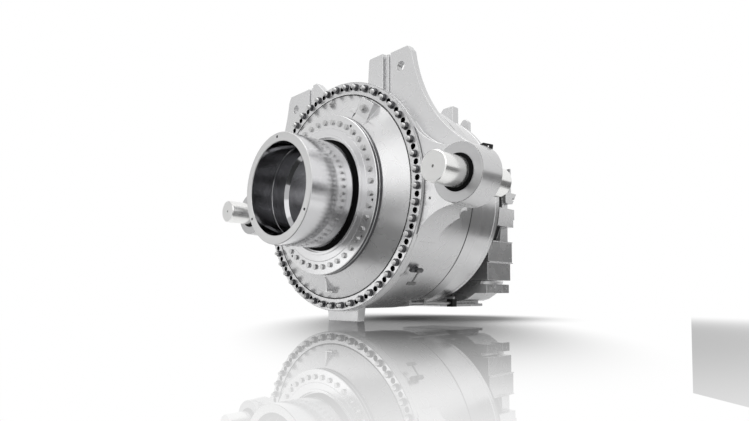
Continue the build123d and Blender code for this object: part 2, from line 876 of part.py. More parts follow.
# Rubber ring that turns with the hub and runs in the cover's recess
seal_front = seal_groove_front + seal_ring_stand
seal_back = seal_groove_front + seal_groove_width - 1
with BuildPart() as hub_seal_ring:
    revolve(
        half_section(
            (seal_groove_radius + fit_clearance, seal_front),
            (hub_radius - seal_ring_stand, seal_front),
            (hub_radius - seal_ring_stand, seal_front + seal_groove_width / 2),
            (seal_ring_lip_radius, seal_back - 2 * seal_ring_stand),
            (seal_ring_lip_radius, seal_back),
            (seal_groove_radius + fit_clearance, seal_back),
        ),
        axis=Axis.Y,
    )
hub_seal_ring.part.label = "hub_seal_ring"
export_step(hub_seal_ring.part, "parts/hub_seal_ring.step")

# First carrier: neck, two plates joined by columns, and the rear journal
carrier_front_y = first_gear_y - carrier_plate_gap - carrier_front_plate
carrier_plate_y = first_gear_y - carrier_plate_gap
carrier_rear_y = first_gear_end_y + carrier_plate_gap
carrier_rear_end_y = carrier_rear_y + carrier_rear_plate
middle_journal_end_y = carrier_rear_end_y + carrier_journal_length
first_centre_distance = first_module * (first_sun_teeth + first_planet_teeth) / 2
first_pin_hole = first_pin_radius + fit_clearance
with BuildPart() as first_carrier:
    revolve(
        half_section(
            (carrier_neck_radius - carrier_neck_wall, hub_end_y),
            (hub_rear_flange_radius, hub_end_y),
            (hub_rear_flange_radius, hub_end_y + hub_rear_flange_thickness),
            (carrier_neck_radius, hub_end_y + hub_rear_flange_thickness),
            (carrier_neck_radius, carrier_front_y - carrier_front_plate),
            (carrier_radius - carrier_neck_wall, carrier_front_y),
            (carrier_radius, carrier_front_y),
            (carrier_radius, carrier_plate_y),
            (0, carrier_plate_y),
            (0, carrier_front_y),
            (carrier_neck_radius - carrier_neck_wall, carrier_front_y),
        ),
        axis=Axis.Y,
    )
    revolve(
        half_section(
            (carrier_journal_bore, carrier_rear_y),
            (carrier_radius, carrier_rear_y),
            (carrier_radius, carrier_rear_end_y),
            (carrier_journal_radius, carrier_rear_end_y),
            (carrier_journal_radius, middle_journal_end_y),
            (carrier_journal_bore, middle_journal_end_y),
        ),
        axis=Axis.Y,
    )
    with BuildSketch(upright(carrier_rear_end_y)):
        with PolarLocations(carrier_column_circle, planet_count, first_planet_angle + 180 / planet_count):
            Circle(carrier_column_radius)
    extrude(amount=carrier_rear_end_y - carrier_plate_y)
    with BuildSketch(upright(carrier_rear_end_y)):
        with PolarLocations(first_centre_distance, planet_count, first_planet_angle):
            Circle(first_pin_hole)
    extrude(amount=carrier_rear_end_y - carrier_front_y, mode=Mode.SUBTRACT)
first_carrier.part.label = "first_carrier"
export_step(first_carrier.part, "parts/first_carrier.step")


def planet_pins(distance, angle, radius, start, end):
    """Group of plain pins on the planets' circle."""
    with BuildSketch(upright(end)) as section:
        with PolarLocations(distance, planet_count, angle):
            Circle(radius)
    return section.sketch, end - start


def ring_group(distance, angle, inner, outer, y):
    """Group of rings on the planets' circle, as a section at a station."""
    with BuildSketch(upright(y)) as section:
        with PolarLocations(distance, planet_count, angle):
            Circle(outer)
            Circle(inner, mode=Mode.SUBTRACT)
    return section.sketch


def planet_section(module, teeth, distance, angle, phase, bore, y):
    """Section of one planet gear in its place on the carrier."""
    centre = polar(distance, angle)
    with BuildSketch(upright(y)) as section:
        with BuildLine():
            Polyline(*external_gear(module, teeth, phase, centre), close=True)
        make_face()
        with Locations(centre):
            Circle(bore, mode=Mode.SUBTRACT)
    return section.sketch


with BuildPart() as first_planet_pins:
    section, length = planet_pins(
        first_centre_distance, first_planet_angle, first_pin_radius, carrier_front_y, carrier_rear_end_y
    )
    extrude(section, amount=length)
first_planet_pins.part.label = "first_planet_pins"
export_step(first_planet_pins.part, "parts/first_planet_pins.step")

bearing_outer = first_planet_bore_radius - roller_clearance
with BuildPart() as first_planet_bearings:
    section = ring_group(first_centre_distance, first_planet_angle, first_pin_hole, bearing_outer, first_gear_end_y)
    extrude(section, amount=first_face_width)
first_planet_bearings.part.label = "first_planet_bearings"
export_step(first_planet_bearings.part, "parts/first_planet_bearings.step")

# Three planet gears of the first stage
for number in range(planet_count):
    angle = first_planet_angle + number * 360 / planet_count
    phase = planet_phase(angle, first_ring_teeth, first_planet_teeth)
    with BuildPart() as first_planet:
        section = planet_section(
            first_module,
            first_planet_teeth,
            first_centre_distance,
            angle,
            phase,
            first_planet_bore_radius,
            first_gear_end_y,
        )
        extrude(section, amount=first_face_width)
    first_planet.part.label = "first_planet_" + str(number + 1)
    export_step(first_planet.part, "parts/first_planet_" + str(number + 1) + ".step")

# Ring gear of the first stage, part of the outer casing
with BuildPart() as ring_gear_first:
    revolve(
        half_section(
            (first_module * first_ring_teeth / 2 - 2 * first_module, first_ring_y),
            (first_ring_radius - seam_chamfer, first_ring_y),
            (first_ring_radius, first_ring_y + seam_chamfer),
            (first_ring_radius, first_ring_y + first_ring_band),
            (first_ring_radius - 3 * seam_chamfer, first_ring_y + first_ring_band + seam_chamfer),
            (first_ring_rear_radius, intermediate_y - seam_chamfer),
            (first_ring_rear_radius - seam_chamfer, intermediate_y),
            (first_module * first_ring_teeth / 2 - 2 * first_module, intermediate_y),
        ),
        axis=Axis.Y,
    )
    with BuildSketch(upright(intermediate_y)):
        with BuildLine():
            Polyline(*internal_gear(first_module, first_ring_teeth), close=True)
        make_face()
    extrude(amount=first_ring_length, mode=Mode.SUBTRACT)
ring_gear_first.part.label = "ring_gear_first"
export_step(ring_gear_first.part, "parts/ring_gear_first.step")

# Sun of the first stage on its shaft, which drives the second carrier
second_carrier_front_y = second_gear_y - carrier_plate_gap - second_carrier_plate
first_sun_phase = sun_phase(first_planet_angle, first_ring_teeth, first_planet_teeth, first_sun_teeth)
sun_root = first_module * first_sun_teeth / 2 - dedendum_factor * first_module
sun_shaft_radius = sun_root - roller_clearance
with BuildPart() as first_sun_shaft:
    with BuildSketch(upright(first_gear_end_y)):
        with BuildLine():
            Polyline(*external_gear(first_module, first_sun_teeth, first_sun_phase), close=True)
        make_face()
    extrude(amount=first_face_width)
    with BuildSketch(upright(second_carrier_front_y + second_carrier_plate)):
        Circle(sun_shaft_radius)
    extrude(amount=second_carrier_front_y + second_carrier_plate - first_gear_end_y)
first_sun_shaft.part.label = "first_sun_shaft"
export_step(first_sun_shaft.part, "parts/first_sun_shaft.step")

# Intermediate housing with the wall that carries the first carrier's rear bearing
wall_y = intermediate_y + intermediate_wall_setback
wall_end_y = wall_y + intermediate_wall_thickness
edge_y = intermediate_y + intermediate_front_length
with BuildPart() as intermediate_housing:
    revolve(
        half_section(
            (intermediate_front_bore, intermediate_y),
            (first_ring_rear_radius - seam_chamfer, intermediate_y),
            (first_ring_rear_radius, intermediate_y + seam_chamfer),
            (first_ring_rear_radius, edge_y),
            (intermediate_edge_radius, edge_y + intermediate_edge_length),
            (intermediate_rear_radius, second_housing_y - seam_chamfer),
            (intermediate_rear_radius - seam_chamfer, second_housing_y),
            (intermediate_rear_bore, second_housing_y),
            (intermediate_rear_bore, wall_end_y),
            (middle_bearing_radius, wall_end_y),
            (middle_bearing_radius, wall_y),
            (intermediate_front_bore, wall_y),
        ),
        axis=Axis.Y,
    )
intermediate_housing.part.label = "intermediate_housing"
export_step(intermediate_housing.part, "parts/intermediate_housing.step")

# Charcoal drum of the second stage and the ring gear inside it
second_ring_bore = second_housing_radius - second_housing_wall
with BuildPart() as second_stage_housing:
    revolve(
        half_section(
            (second_ring_bore, second_housing_y),
            (second_housing_radius, second_housing_y),
            (second_housing_radius, rear_y),
            (second_ring_bore, rear_y),
        ),
        axis=Axis.Y,
    )
second_stage_housing.part.label = "second_stage_housing"
export_step(second_stage_housing.part, "parts/second_stage_housing.step")
with BuildPart() as ring_gear_second:
    with BuildSketch(upright(rear_y)):
        Circle(second_ring_bore - fit_clearance)
        with BuildLine():
            Polyline(*internal_gear(second_module, second_ring_teeth), close=True)
        make_face(mode=Mode.SUBTRACT)
    extrude(amount=second_housing_length)
ring_gear_second.part.label = "ring_gear_second"
export_step(ring_gear_second.part, "parts/ring_gear_second.step")

# Second carrier, on the first sun's shaft
second_centre_distance = second_module * (second_sun_teeth + second_planet_teeth) / 2
second_pin_hole = second_pin_radius + fit_clearance
second_plate_y = second_gear_y - carrier_plate_gap
second_rear_y = second_gear_end_y + carrier_plate_gap
second_rear_end_y = second_rear_y + second_carrier_plate
second_journal_end_y = second_rear_end_y + second_journal_length
with BuildPart() as second_carrier:
    revolve(
        half_section(
            (sun_shaft_radius + fit_clearance, second_carrier_front_y),
            (second_carrier_radius, second_carrier_front_y),
            (second_carrier_radius, second_plate_y),
            (sun_shaft_radius + fit_clearance, second_plate_y),
        ),
        axis=Axis.Y,
    )
    revolve(
        half_section(
            (second_journal_bore, second_rear_y),
            (second_carrier_radius, second_rear_y),
            (second_carrier_radius, second_rear_end_y),
            (second_journal_radius, second_rear_end_y),
            (second_journal_radius, second_journal_end_y),
            (second_journal_bore, second_journal_end_y),
        ),
        axis=Axis.Y,
    )
    with BuildSketch(upright(second_rear_end_y)):
        with PolarLocations(second_column_circle, planet_count, second_planet_angle + 180 / planet_count):
            Circle(second_column_radius)
    extrude(amount=second_rear_end_y - second_carrier_front_y)
    with BuildSketch(upright(second_rear_end_y)):
        with PolarLocations(second_centre_distance, planet_count, second_planet_angle):
            Circle(second_pin_hole)
    extrude(amount=second_rear_end_y - second_carrier_front_y, mode=Mode.SUBTRACT)
second_carrier.part.label = "second_carrier"
export_step(second_carrier.part, "parts/second_carrier.step")
with BuildPart() as second_planet_pins:
    section, length = planet_pins(
        second_centre_distance, second_planet_angle, second_pin_radius, second_carrier_front_y, second_rear_end_y
    )
    extrude(section, amount=length)
second_planet_pins.part.label = "second_planet_pins"
export_step(second_planet_pins.part, "parts/second_planet_pins.step")
bearing_outer = second_planet_bore_radius - roller_clearance
with BuildPart() as second_planet_bearings:
    section = ring_group(
        second_centre_distance, second_planet_angle, second_pin_hole, bearing_outer, second_gear_end_y
    )
    extrude(section, amount=second_face_width)
second_planet_bearings.part.label = "second_planet_bearings"
export_step(second_planet_bearings.part, "parts/second_planet_bearings.step")
for number in range(planet_count):
    angle = second_planet_angle + number * 360 / planet_count
    phase = planet_phase(angle, second_ring_teeth, second_planet_teeth)
    with BuildPart() as second_planet:
        section = planet_section(
            second_module,
            second_planet_teeth,
            second_centre_distance,
            angle,
            phase,
            second_planet_bore_radius,
            second_gear_end_y,
        )
        extrude(section, amount=second_face_width)
    second_planet.part.label = "second_planet_" + str(number + 1)
    export_step(second_planet.part, "parts/second_planet_" + str(number + 1) + ".step")

# Output shaft with the second sun, and its coupling flange
output_sun_phase = sun_phase(second_planet_angle, second_ring_teeth, second_planet_teeth, second_sun_teeth)
output_flange_y = rear_cover_end_y + output_flange_stand
with BuildPart() as output_shaft:
    with BuildSketch(upright(second_gear_end_y)):
        with BuildLine():
            Polyline(*external_gear(second_module, second_sun_teeth, output_sun_phase), close=True)
        make_face()
    extrude(amount=second_face_width)
    with BuildSketch(upright(output_flange_y + output_flange_thickness - output_pilot_depth)):
        Circle(output_shaft_radius)
    extrude(amount=output_flange_y + output_flange_thickness - output_pilot_depth - second_gear_end_y)
output_shaft.part.label = "output_shaft"
export_step(output_shaft.part, "parts/output_shaft.step")
with BuildPart() as output_flange:
    revolve(
        half_section(
            (output_shaft_radius + fit_clearance, output_flange_y - output_flange_thickness / 2),
            (output_collar_radius, output_flange_y - output_flange_thickness / 2),
            (output_collar_radius, output_flange_y),
            (output_flange_radius - seam_chamfer, output_flange_y),
            (output_flange_radius, output_flange_y + seam_chamfer),
            (output_flange_radius, output_flange_y + output_flange_thickness - seam_chamfer),
            (output_flange_radius - seam_chamfer, output_flange_y + output_flange_thickness),
            (output_shaft_radius + fit_clearance, output_flange_y + output_flange_thickness),
        ),
        axis=Axis.Y,
    )
    with BuildSketch(upright(output_flange_y + output_flange_thickness)):
        with PolarLocations(output_bolt_circle_radius, output_bolt_count):
            Circle(output_bolt_hole_radius)
    extrude(amount=output_flange_thickness, mode=Mode.SUBTRACT)
output_flange.part.label = "output_flange"
export_step(output_flange.part, "parts/output_flange.step")

# Main bearings: outer rings in the casings, inner rings with their rollers on the journals
rear_wall_y = rear_y + rear_bearing_wall_setback
output_bearing_y = rear_end_y - rear_bearing_wall
bearings = [
    ("front_bearing_outer", cover_bore_radius - front_bearing_section, cover_bore_radius - fit_clearance,
     cone_front_y, front_bearing_end_y),
    ("front_bearing_inner", hub_journal_radius + fit_clearance,
     cover_bore_radius - front_bearing_section - roller_clearance, hub_journal_y, front_bearing_end_y),
    ("middle_bearing_outer", (middle_bearing_radius + carrier_journal_radius) / 2,
     middle_bearing_radius - fit_clearance, wall_y, wall_end_y),
    ("middle_bearing_inner", carrier_journal_radius + fit_clearance,
     (middle_bearing_radius + carrier_journal_radius) / 2 - roller_clearance, wall_y, wall_end_y),
    ("second_bearing_outer", (second_bearing_radius + second_journal_radius) / 2,
     second_bearing_radius - fit_clearance, rear_wall_y, rear_wall_y + rear_bearing_wall),
    ("second_bearing_inner", second_journal_radius + fit_clearance,
     (second_bearing_radius + second_journal_radius) / 2 - roller_clearance, rear_wall_y,
     rear_wall_y + rear_bearing_wall),
    ("output_bearing_outer", (output_bearing_radius + output_shaft_radius) / 2,
     output_bearing_radius - fit_clearance, output_bearing_y, rear_end_y),
    ("output_bearing_inner", output_shaft_radius + fit_clearance,
     (output_bearing_radius + output_shaft_radius) / 2 - roller_clearance, output_bearing_y, rear_end_y),
]
for name, inner, outer, start, end in bearings:
    with BuildPart() as bearing_ring:
        revolve(ring_section(inner, outer, start, end), axis=Axis.Y)
    bearing_ring.part.label = name
    export_step(bearing_ring.part, "parts/" + name + ".step")

# Rear housing: round core, side walls and the pads that make its castellated outline
rear_back_y = rear_wall_y + rear_bearing_wall
side_start = rear_y + rear_pad_gap
upper_pad_y = second_housing_y + rear_pad_gap * 2
upper_low = rear_upper_pad_top - rear_upper_pad_height
upper_split = (rear_upper_pad_top + upper_low) / 2 - rear_pad_step
lower_y = rear_end_y - rear_lower_length


def side_block(side, inner, outer, low, high, start, end):
    """Block on one side of the housing, from its inner to its outer face."""
    with BuildSketch(upright(end)) as section:
        with Locations((side * (inner + outer) / 2, (low + high) / 2)):
            Rectangle(outer - inner, high - low)
    return section.sketch, end - start


blocks = [
    (rear_lower_inner_x, rear_side_x, rear_lower_top, rear_side_top, side_start,
     side_start + rear_side_length),
    (rear_side_x - rear_pad_step, rear_upper_pad_x, upper_split + rear_pad_gap, rear_upper_pad_top, side_start,
     upper_pad_y + rear_upper_pad_length),
    (rear_side_x - rear_pad_step, rear_upper_pad_x, upper_low, upper_split - rear_pad_gap, side_start,
     upper_pad_y + rear_upper_pad_length - rear_pad_step),
    (rear_side_x - rear_pad_step, rear_upper_pad_x, upper_split - rear_pad_gap, upper_split + rear_pad_gap,
     side_start, side_start + rear_side_length),
    (second_housing_radius + rear_drum_gap, rear_upper_pad_x, upper_low, rear_upper_pad_top, upper_pad_y,
     side_start),
    (rear_lower_inner_x, rear_lower_x, rear_lower_middle + rear_rib, rear_lower_top, lower_y, rear_end_y),
    (rear_lower_inner_x, rear_lower_x - rear_rib, rear_lower_bottom, rear_lower_middle, lower_y,
     rear_end_y - rear_pad_step),
    (rear_lower_inner_x, rear_lower_x + rear_rib, rear_lower_middle, rear_lower_middle + rear_rib, lower_y,
     rear_end_y),
    (rear_lower_inner_x, rear_lower_x + rear_rib, rear_lower_top, rear_lower_top + rear_rib, lower_y,
     rear_end_y),
]
with BuildPart() as rear_housing:
    revolve(
        half_section(
            (0, rear_y),
            (second_housing_radius, rear_y),
            (second_housing_radius, side_start + second_housing_flange),
            (rear_core_radius, side_start + second_housing_flange),
            (rear_core_radius, side_start + rear_side_length),
            (rear_tail_radius, side_start + rear_side_length),
            (rear_tail_radius, rear_end_y - seam_chamfer),
            (rear_tail_radius - seam_chamfer, rear_end_y),
            (0, rear_end_y),
        ),
        axis=Axis.Y,
    )
    for side in (1, -1):
        for block in blocks:
            section, length = side_block(side, *block)
            extrude(section, amount=length)
        # Leaning eye plate above the pads, and the upright plate behind it
        eye_low = rear_upper_pad_top + rear_eye_height / 2
        pad_end_y = upper_pad_y + rear_upper_pad_length
        eye_hole_y = pad_end_y - rear_eye_hole_radius
        with BuildSketch(Plane.YZ.offset(side * (rear_side_x + rear_upper_pad_x) / 2)):
            with BuildLine():
                Polyline(
                    (side_start, eye_low),
                    (side_start, eye_low + rear_eye_height),
                    (pad_end_y + 4 * rear_rib, eye_low + rear_eye_height),
                    (pad_end_y - 3 * rear_rib, eye_low),
                    close=True,
                )
            make_face()
            with Locations((eye_hole_y, eye_low + rear_eye_hole_rise)):
                Circle(rear_eye_hole_radius, mode=Mode.SUBTRACT)
        extrude(amount=(rear_upper_pad_x - rear_side_x) / 2, both=True)
        plate_z = eye_low + rear_eye_height + rear_plate_height / 2
        with BuildSketch(upright(pad_end_y - rear_rib)):
            with Locations((side * (rear_side_x + rear_pad_step), plate_z)):
                Rectangle(2 * rear_pad_step, rear_plate_height)
        extrude(amount=rear_plate_thickness)
    # Cavity for the second carrier, the bearing seats and the rear chamber
    revolve(
        half_section(
            (0, rear_y),
            (rear_bore, rear_y),
            (rear_bore, rear_wall_y),
            (second_bearing_radius, rear_wall_y),
            (second_bearing_radius, rear_back_y),
            (rear_back_bore, rear_back_y),
            (rear_back_bore, output_bearing_y),
            (output_bearing_radius, output_bearing_y),
            (output_bearing_radius, rear_end_y),
            (0, rear_end_y),
        ),
        axis=Axis.Y,
        mode=Mode.SUBTRACT,
    )
    # The lower sides reach forward round the second stage
    revolve(
        ring_section(0, second_housing_radius + rear_drum_gap, lower_y, rear_y),
        axis=Axis.Y,
        mode=Mode.SUBTRACT,
    )
rear_housing.part.label = "rear_housing"
export_step(rear_housing.part, "parts/rear_housing.step")

# Rear cover, its bolts and the seal of the output shaft
with BuildPart() as rear_cover:
    revolve(
        half_section(
            (seal_radius, rear_end_y),
            (rear_cover_radius, rear_end_y),
            (rear_cover_radius, rear_cover_end_y - seam_chamfer),
            (rear_cover_radius - seam_chamfer, rear_cover_end_y),
            (seal_radius + rear_cover_thickness, rear_cover_end_y),
            (seal_radius + rear_cover_thickness, rear_cover_end_y + rear_pad_step),
            (seal_radius, rear_cover_end_y + rear_pad_step),
        ),
        axis=Axis.Y,
    )
rear_cover.part.label = "rear_cover"
export_step(rear_cover.part, "parts/rear_cover.step")
with BuildPart() as rear_cover_bolts:
    with BuildSketch(upright(rear_cover_end_y + cover_bolt_head_height)):
        with PolarLocations(rear_cover_bolt_circle_radius, rear_cover_bolt_count):
            RegularPolygon(cover_bolt_across_flats / math.sqrt(3), 6)
    extrude(amount=cover_bolt_head_height)
rear_cover_bolts.part.label = "rear_cover_bolts"
export_step(rear_cover_bolts.part, "parts/rear_cover_bolts.step")
with BuildPart() as output_seal:
    revolve(
        ring_section(output_shaft_radius + roller_clearance, seal_radius - fit_clearance, rear_end_y,
                     rear_cover_end_y + rear_pad_step),
        axis=Axis.Y,
    )
output_seal.part.label = "output_seal"
export_step(output_seal.part, "parts/output_seal.step")

# Lifting lugs on the intermediate housing and on the rear housing
lug_front_y = intermediate_y + intermediate_front_length + intermediate_edge_length
for side, name in ((1, "right"), (-1, "left")):
    with BuildPart() as front_lug:
        with BuildSketch(upright(lug_front_y + lug_front_thickness)):
            with BuildLine():
                inner = side * (lug_front_x - lug_front_width / 2)
                outer = side * (lug_front_x + lug_front_width / 2)
                corner = lug_front_width / 3
                Polyline(
                    (inner, intermediate_rear_radius / 2),
                    (inner, lug_front_top - corner),
                    (inner + side * corner, lug_front_top),
                    (outer, lug_front_top),
                    (outer, intermediate_rear_radius / 2),
                    close=True,
                )
            make_face()
        extrude(amount=lug_front_thickness)
        revolve(
            half_section(
                (0, edge_y),
                (first_ring_rear_radius, edge_y),
                (intermediate_edge_radius + fit_clearance, edge_y + intermediate_edge_length),
                (intermediate_rear_radius + fit_clearance, second_housing_y - seam_chamfer),
                (0, second_housing_y - seam_chamfer),
            ),
            axis=Axis.Y,
            mode=Mode.SUBTRACT,
        )
    front_lug.part.label = "front_lug_" + name
    export_step(front_lug.part, "parts/front_lug_" + name + ".step")
    with BuildPart() as rear_lug:
        with BuildSketch(upright(side_start + second_housing_flange + lug_rear_thickness)):
            with BuildLine():
                inner = side * (lug_rear_x - lug_rear_width / 2)
                outer = side * (lug_rear_x + lug_rear_width / 2)
                corner = lug_rear_width / 3
                Polyline(
                    (inner, rear_bore),
                    (inner, lug_rear_top - corner),
                    (inner + side * corner, lug_rear_top),
                    (outer - side * corner, lug_rear_top),
                    (outer, lug_rear_top - corner),
                    (outer, rear_bore),
                    close=True,
                )
            make_face()
            with Locations((side * (lug_rear_x - lug_hole_radius / 2), lug_rear_top - lug_rear_width)):
                Circle(lug_hole_radius, mode=Mode.SUBTRACT)
        extrude(amount=lug_rear_thickness)
        core_cut = ring_section(0, rear_core_radius + fit_clearance, rear_y, rear_end_y)
        revolve(core_cut, axis=Axis.Y, mode=Mode.SUBTRACT)
    rear_lug.part.label = "rear_lug_" + name
    export_step(rear_lug.part, "parts/rear_lug_" + name + ".step")

# Oil pan under the rear casings, with a saddle up to them, four feet and a plate below
pan_y = second_housing_y + pan_setback
pan_end_y = pan_y + pan_length
pan_floor = pan_outline[-1][1]
plate_y = pan_end_y - pan_plate_length
with BuildPart() as oil_pan:
    with BuildSketch(upright(pan_end_y)):
        with BuildLine():
            left_outline = [(-x, z) for x, z in reversed(pan_outline)]
            Polyline(*pan_outline, *left_outline, close=True)
        make_face()
        with Locations((0, (pan_saddle_top + pan_outline[0][1]) / 2)):
            Rectangle(2 * pan_saddle_half_width, pan_saddle_top - pan_outline[0][1])
    extrude(amount=pan_length)
    with BuildSketch(upright(pan_end_y)):
        with Locations((0, (pan_floor + pan_plate_bottom) / 2)):
            Rectangle(2 * pan_neck_half_width, pan_floor - pan_plate_bottom)
    extrude(amount=pan_length)
    with BuildSketch(upright(pan_end_y - pan_foot_plate)):
        with Locations((0, (pan_plate_top + pan_plate_bottom) / 2)):
            Rectangle(2 * pan_plate_half_width, pan_plate_top - pan_plate_bottom)
    extrude(amount=pan_plate_length - pan_foot_plate)
    with BuildSketch(upright(plate_y + pan_rise_thickness)):
        with Locations((0, pan_plate_bottom + pan_rise_height / 2)):
            Rectangle(2 * pan_plate_half_width, pan_rise_height)
    extrude(amount=pan_rise_thickness)
    for start in (pan_y, pan_y + pan_foot_spacing):
        for side in (1, -1):
            with BuildSketch(Plane.YZ.offset(side * (pan_foot_x - pan_foot_plate / 2))):
                with Locations((start + pan_foot_length / 2, pan_foot_bottom + pan_foot_height / 2)):
                    Rectangle(pan_foot_length, pan_foot_height)
                    Circle(pan_foot_hole_radius, mode=Mode.SUBTRACT)
            extrude(amount=pan_foot_plate / 2, both=True)
            with BuildSketch(upright(start + pan_foot_plate)):
                foot_z = pan_foot_bottom + pan_foot_height / 2
                with Locations((side * (pan_foot_x - pan_foot_reach / 2), foot_z)):
                    Rectangle(pan_foot_reach, pan_foot_height)
            extrude(amount=pan_foot_plate)
    revolve(
        half_section(
            (0, pan_y),
            (second_housing_radius + fit_clearance, pan_y),
            (second_housing_radius + fit_clearance, side_start + second_housing_flange + fit_clearance),
            (rear_core_radius + fit_clearance, side_start + second_housing_flange + fit_clearance),
            (rear_core_radius + fit_clearance, side_start + rear_side_length + fit_clearance),
            (rear_tail_radius + fit_clearance, side_start + rear_side_length + fit_clearance),
            (rear_tail_radius + fit_clearance, rear_end_y),
            (0, rear_end_y),
        ),
        axis=Axis.Y,
        mode=Mode.SUBTRACT,
    )
oil_pan.part.label = "oil_pan"
export_step(oil_pan.part, "parts/oil_pan.step")

# Oil connection bolted to the pan's rise, and the pipe that runs forward from it
with BuildPart() as oil_connector:
    connector_z = pan_plate_bottom + connector_height / 2
    with BuildSketch(upright(plate_y)):
        with Locations((connector_x, connector_z)):
            Rectangle(connector_width, connector_height)
    extrude(amount=connector_length)
    with BuildSketch(upright(plate_y - connector_length)):
        with Locations((connector_x, connector_z)):
            bolt_spread_x = connector_width - 2 * connector_bolt_setback
            bolt_spread_z = connector_height - 2 * connector_bolt_setback
            with GridLocations(bolt_spread_x, bolt_spread_z, 2, 2):
                RegularPolygon(connector_bolt_radius, 6)
    extrude(amount=connector_bolt_radius)
oil_connector.part.label = "oil_connector"
export_step(oil_connector.part, "parts/oil_connector.step")
pipe_end_y = plate_y - connector_length
pipe_y = pipe_end_y - pipe_reach
with BuildPart() as oil_pipe:
    with BuildSketch(upright(pipe_end_y)):
        with Locations((connector_x, connector_z)):
            Circle(pipe_radius)
    extrude(amount=pipe_reach)
    for start in (pipe_y, pipe_y + pipe_clip_spacing):
        with BuildSketch(upright(start + pipe_clip_length)):
            with Locations((connector_x, connector_z + pipe_clip_width / 2 - pipe_radius)):
                Rectangle(pipe_clip_width, pipe_clip_width)
        extrude(amount=pipe_clip_length)
    revolve(
        half_section(
            (0, pipe_y),
            (drum_radius + fit_clearance, pipe_y),
            (drum_radius + fit_clearance, first_ring_y + fit_clearance),
            (first_ring_radius + fit_clearance, first_ring_y + fit_clearance),
            (first_ring_radius + fit_clearance, intermediate_y),
            (0, intermediate_y),
        ),
        axis=Axis.Y,
        mode=Mode.SUBTRACT,
    )
oil_pipe.part.label = "oil_pipe"
export_step(oil_pipe.part, "parts/oil_pipe.step")

# Cable bracket on the rear face of the right boss
with BuildPart() as cable_bracket:
    with BuildSketch(upright(boss_end_y + bracket_thickness)):
        with BuildLine():
            Polyline(*[(arm_x + x, z) for x, z in bracket_outline], close=True)
        make_face()
        with Locations((arm_x + bracket_hole_place[0], bracket_hole_place[1])):
            Circle(bracket_hole_radius, mode=Mode.SUBTRACT)
    extrude(amount=bracket_thickness)
cable_bracket.part.label = "cable_bracket"
export_step(cable_bracket.part, "parts/cable_bracket.step")

# Sensors: one on the cone's pad, one plug near the top of the cone
pad_centre = polar(pad_middle_radius, pad_angle)
pad_face_y = flange_y - pad_height
with BuildPart() as pad_sensor:
    with BuildSketch(upright(pad_face_y)):
        with Locations(pad_centre):
            RegularPolygon(sensor_hex / math.sqrt(3), 6)
    extrude(amount=sensor_stand / 2)
    with BuildSketch(upright(pad_face_y - sensor_stand / 2)):
        with Locations(pad_centre):
            Circle(sensor_radius)
    extrude(amount=sensor_stand / 2)
pad_sensor.part.label = "pad_sensor"
export_step(pad_sensor.part, "parts/pad_sensor.step")
cover_plug_radius = cone_outer_radius - cover_plug_setback
plug_y = flange_y - cone_height * cover_plug_setback / cone_width
with BuildPart() as cover_plug:
    plug_x, plug_z = polar(cover_plug_radius, cover_plug_angle)
    lean_x, lean_z = polar(math.sin(cone_slope), cover_plug_angle)
    plug_plane = Plane(origin=(plug_x, plug_y, plug_z), z_dir=(lean_x, -math.cos(cone_slope), lean_z))
    with BuildSketch(plug_plane):
        RegularPolygon(sensor_hex / math.sqrt(3), 6)
    extrude(amount=sensor_stand / 2)
    with BuildSketch(plug_plane.offset(sensor_stand / 2)):
        Circle(sensor_radius)
    extrude(amount=sensor_stand / 2)
cover_plug.part.label = "cover_plug"
export_step(cover_plug.part, "parts/cover_plug.step")

# Sampling valve on the lower side of the drum, with a lever that turns a quarter
valve_point = polar(drum_radius, valve_angle)
valve_direction = polar(1, valve_angle)
valve_plane = Plane(
    origin=(valve_point[0], valve_y, valve_point[1]),
    x_dir=(0, 1, 0),
    z_dir=(valve_direction[0], 0, valve_direction[1]),
)
with BuildPart() as sampling_valve:
    with BuildSketch(valve_plane.offset(-seam_chamfer)):
        Circle(valve_flange_radius)
    extrude(amount=valve_length / 2)
    with BuildSketch(valve_plane.offset(valve_length / 2 - seam_chamfer)):
        Circle(valve_body_radius)
        Rectangle(valve_bar_length, valve_bar_width)
    extrude(amount=valve_length / 2)
    drum_cut = ring_section(0, drum_radius + fit_clearance, housing_y, first_ring_y)
    revolve(drum_cut, axis=Axis.Y, mode=Mode.SUBTRACT)
sampling_valve.part.label = "sampling_valve"
export_step(sampling_valve.part, "parts/sampling_valve.step")
lever_plane = valve_plane.offset(valve_length - seam_chamfer + lever_turn_gap)
with BuildPart() as sampling_lever:
    with BuildSketch(lever_plane):
        Circle(lever_hub_radius)
    extrude(amount=2 * lever_thickness)
    with BuildSketch(lever_plane.offset(lever_thickness)):
        with Locations((0, -lever_length / 2)):
            Rectangle(lever_width, lever_length)
        with Locations((0, -lever_length)):
            Rectangle(lever_grip_length, lever_grip_width)
    extrude(amount=lever_thickness)
sampling_lever.part.label = "sampling_lever"
export_step(sampling_lever.part, "parts/sampling_lever.step")

# Breather on top of the intermediate housing, between the lifting lugs
breather_y = intermediate_y + intermediate_front_length / 2
with BuildPart() as breather:
    with BuildSketch(Plane((0, breather_y, first_ring_rear_radius - seam_chamfer))):
        RegularPolygon(breather_hex_radius, 6)
    extrude(amount=breather_height / 3)
    with BuildSketch(Plane((0, breather_y, first_ring_rear_radius - seam_chamfer + breather_height / 3))):
        Circle(breather_radius)
    extrude(amount=breather_height * 2 / 3)
    revolve(
        ring_section(0, first_ring_rear_radius + fit_clearance, intermediate_y, edge_y),
        axis=Axis.Y,
        mode=Mode.SUBTRACT,
    )
breather.part.label = "breather"
export_step(breather.part, "parts/breather.step")
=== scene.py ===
"""Looks of a two-stage planetary gearbox for a wind turbine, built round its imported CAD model."""

import json
import logging
import math
from collections.abc import Callable
from dataclasses import dataclass, field
from enum import Enum

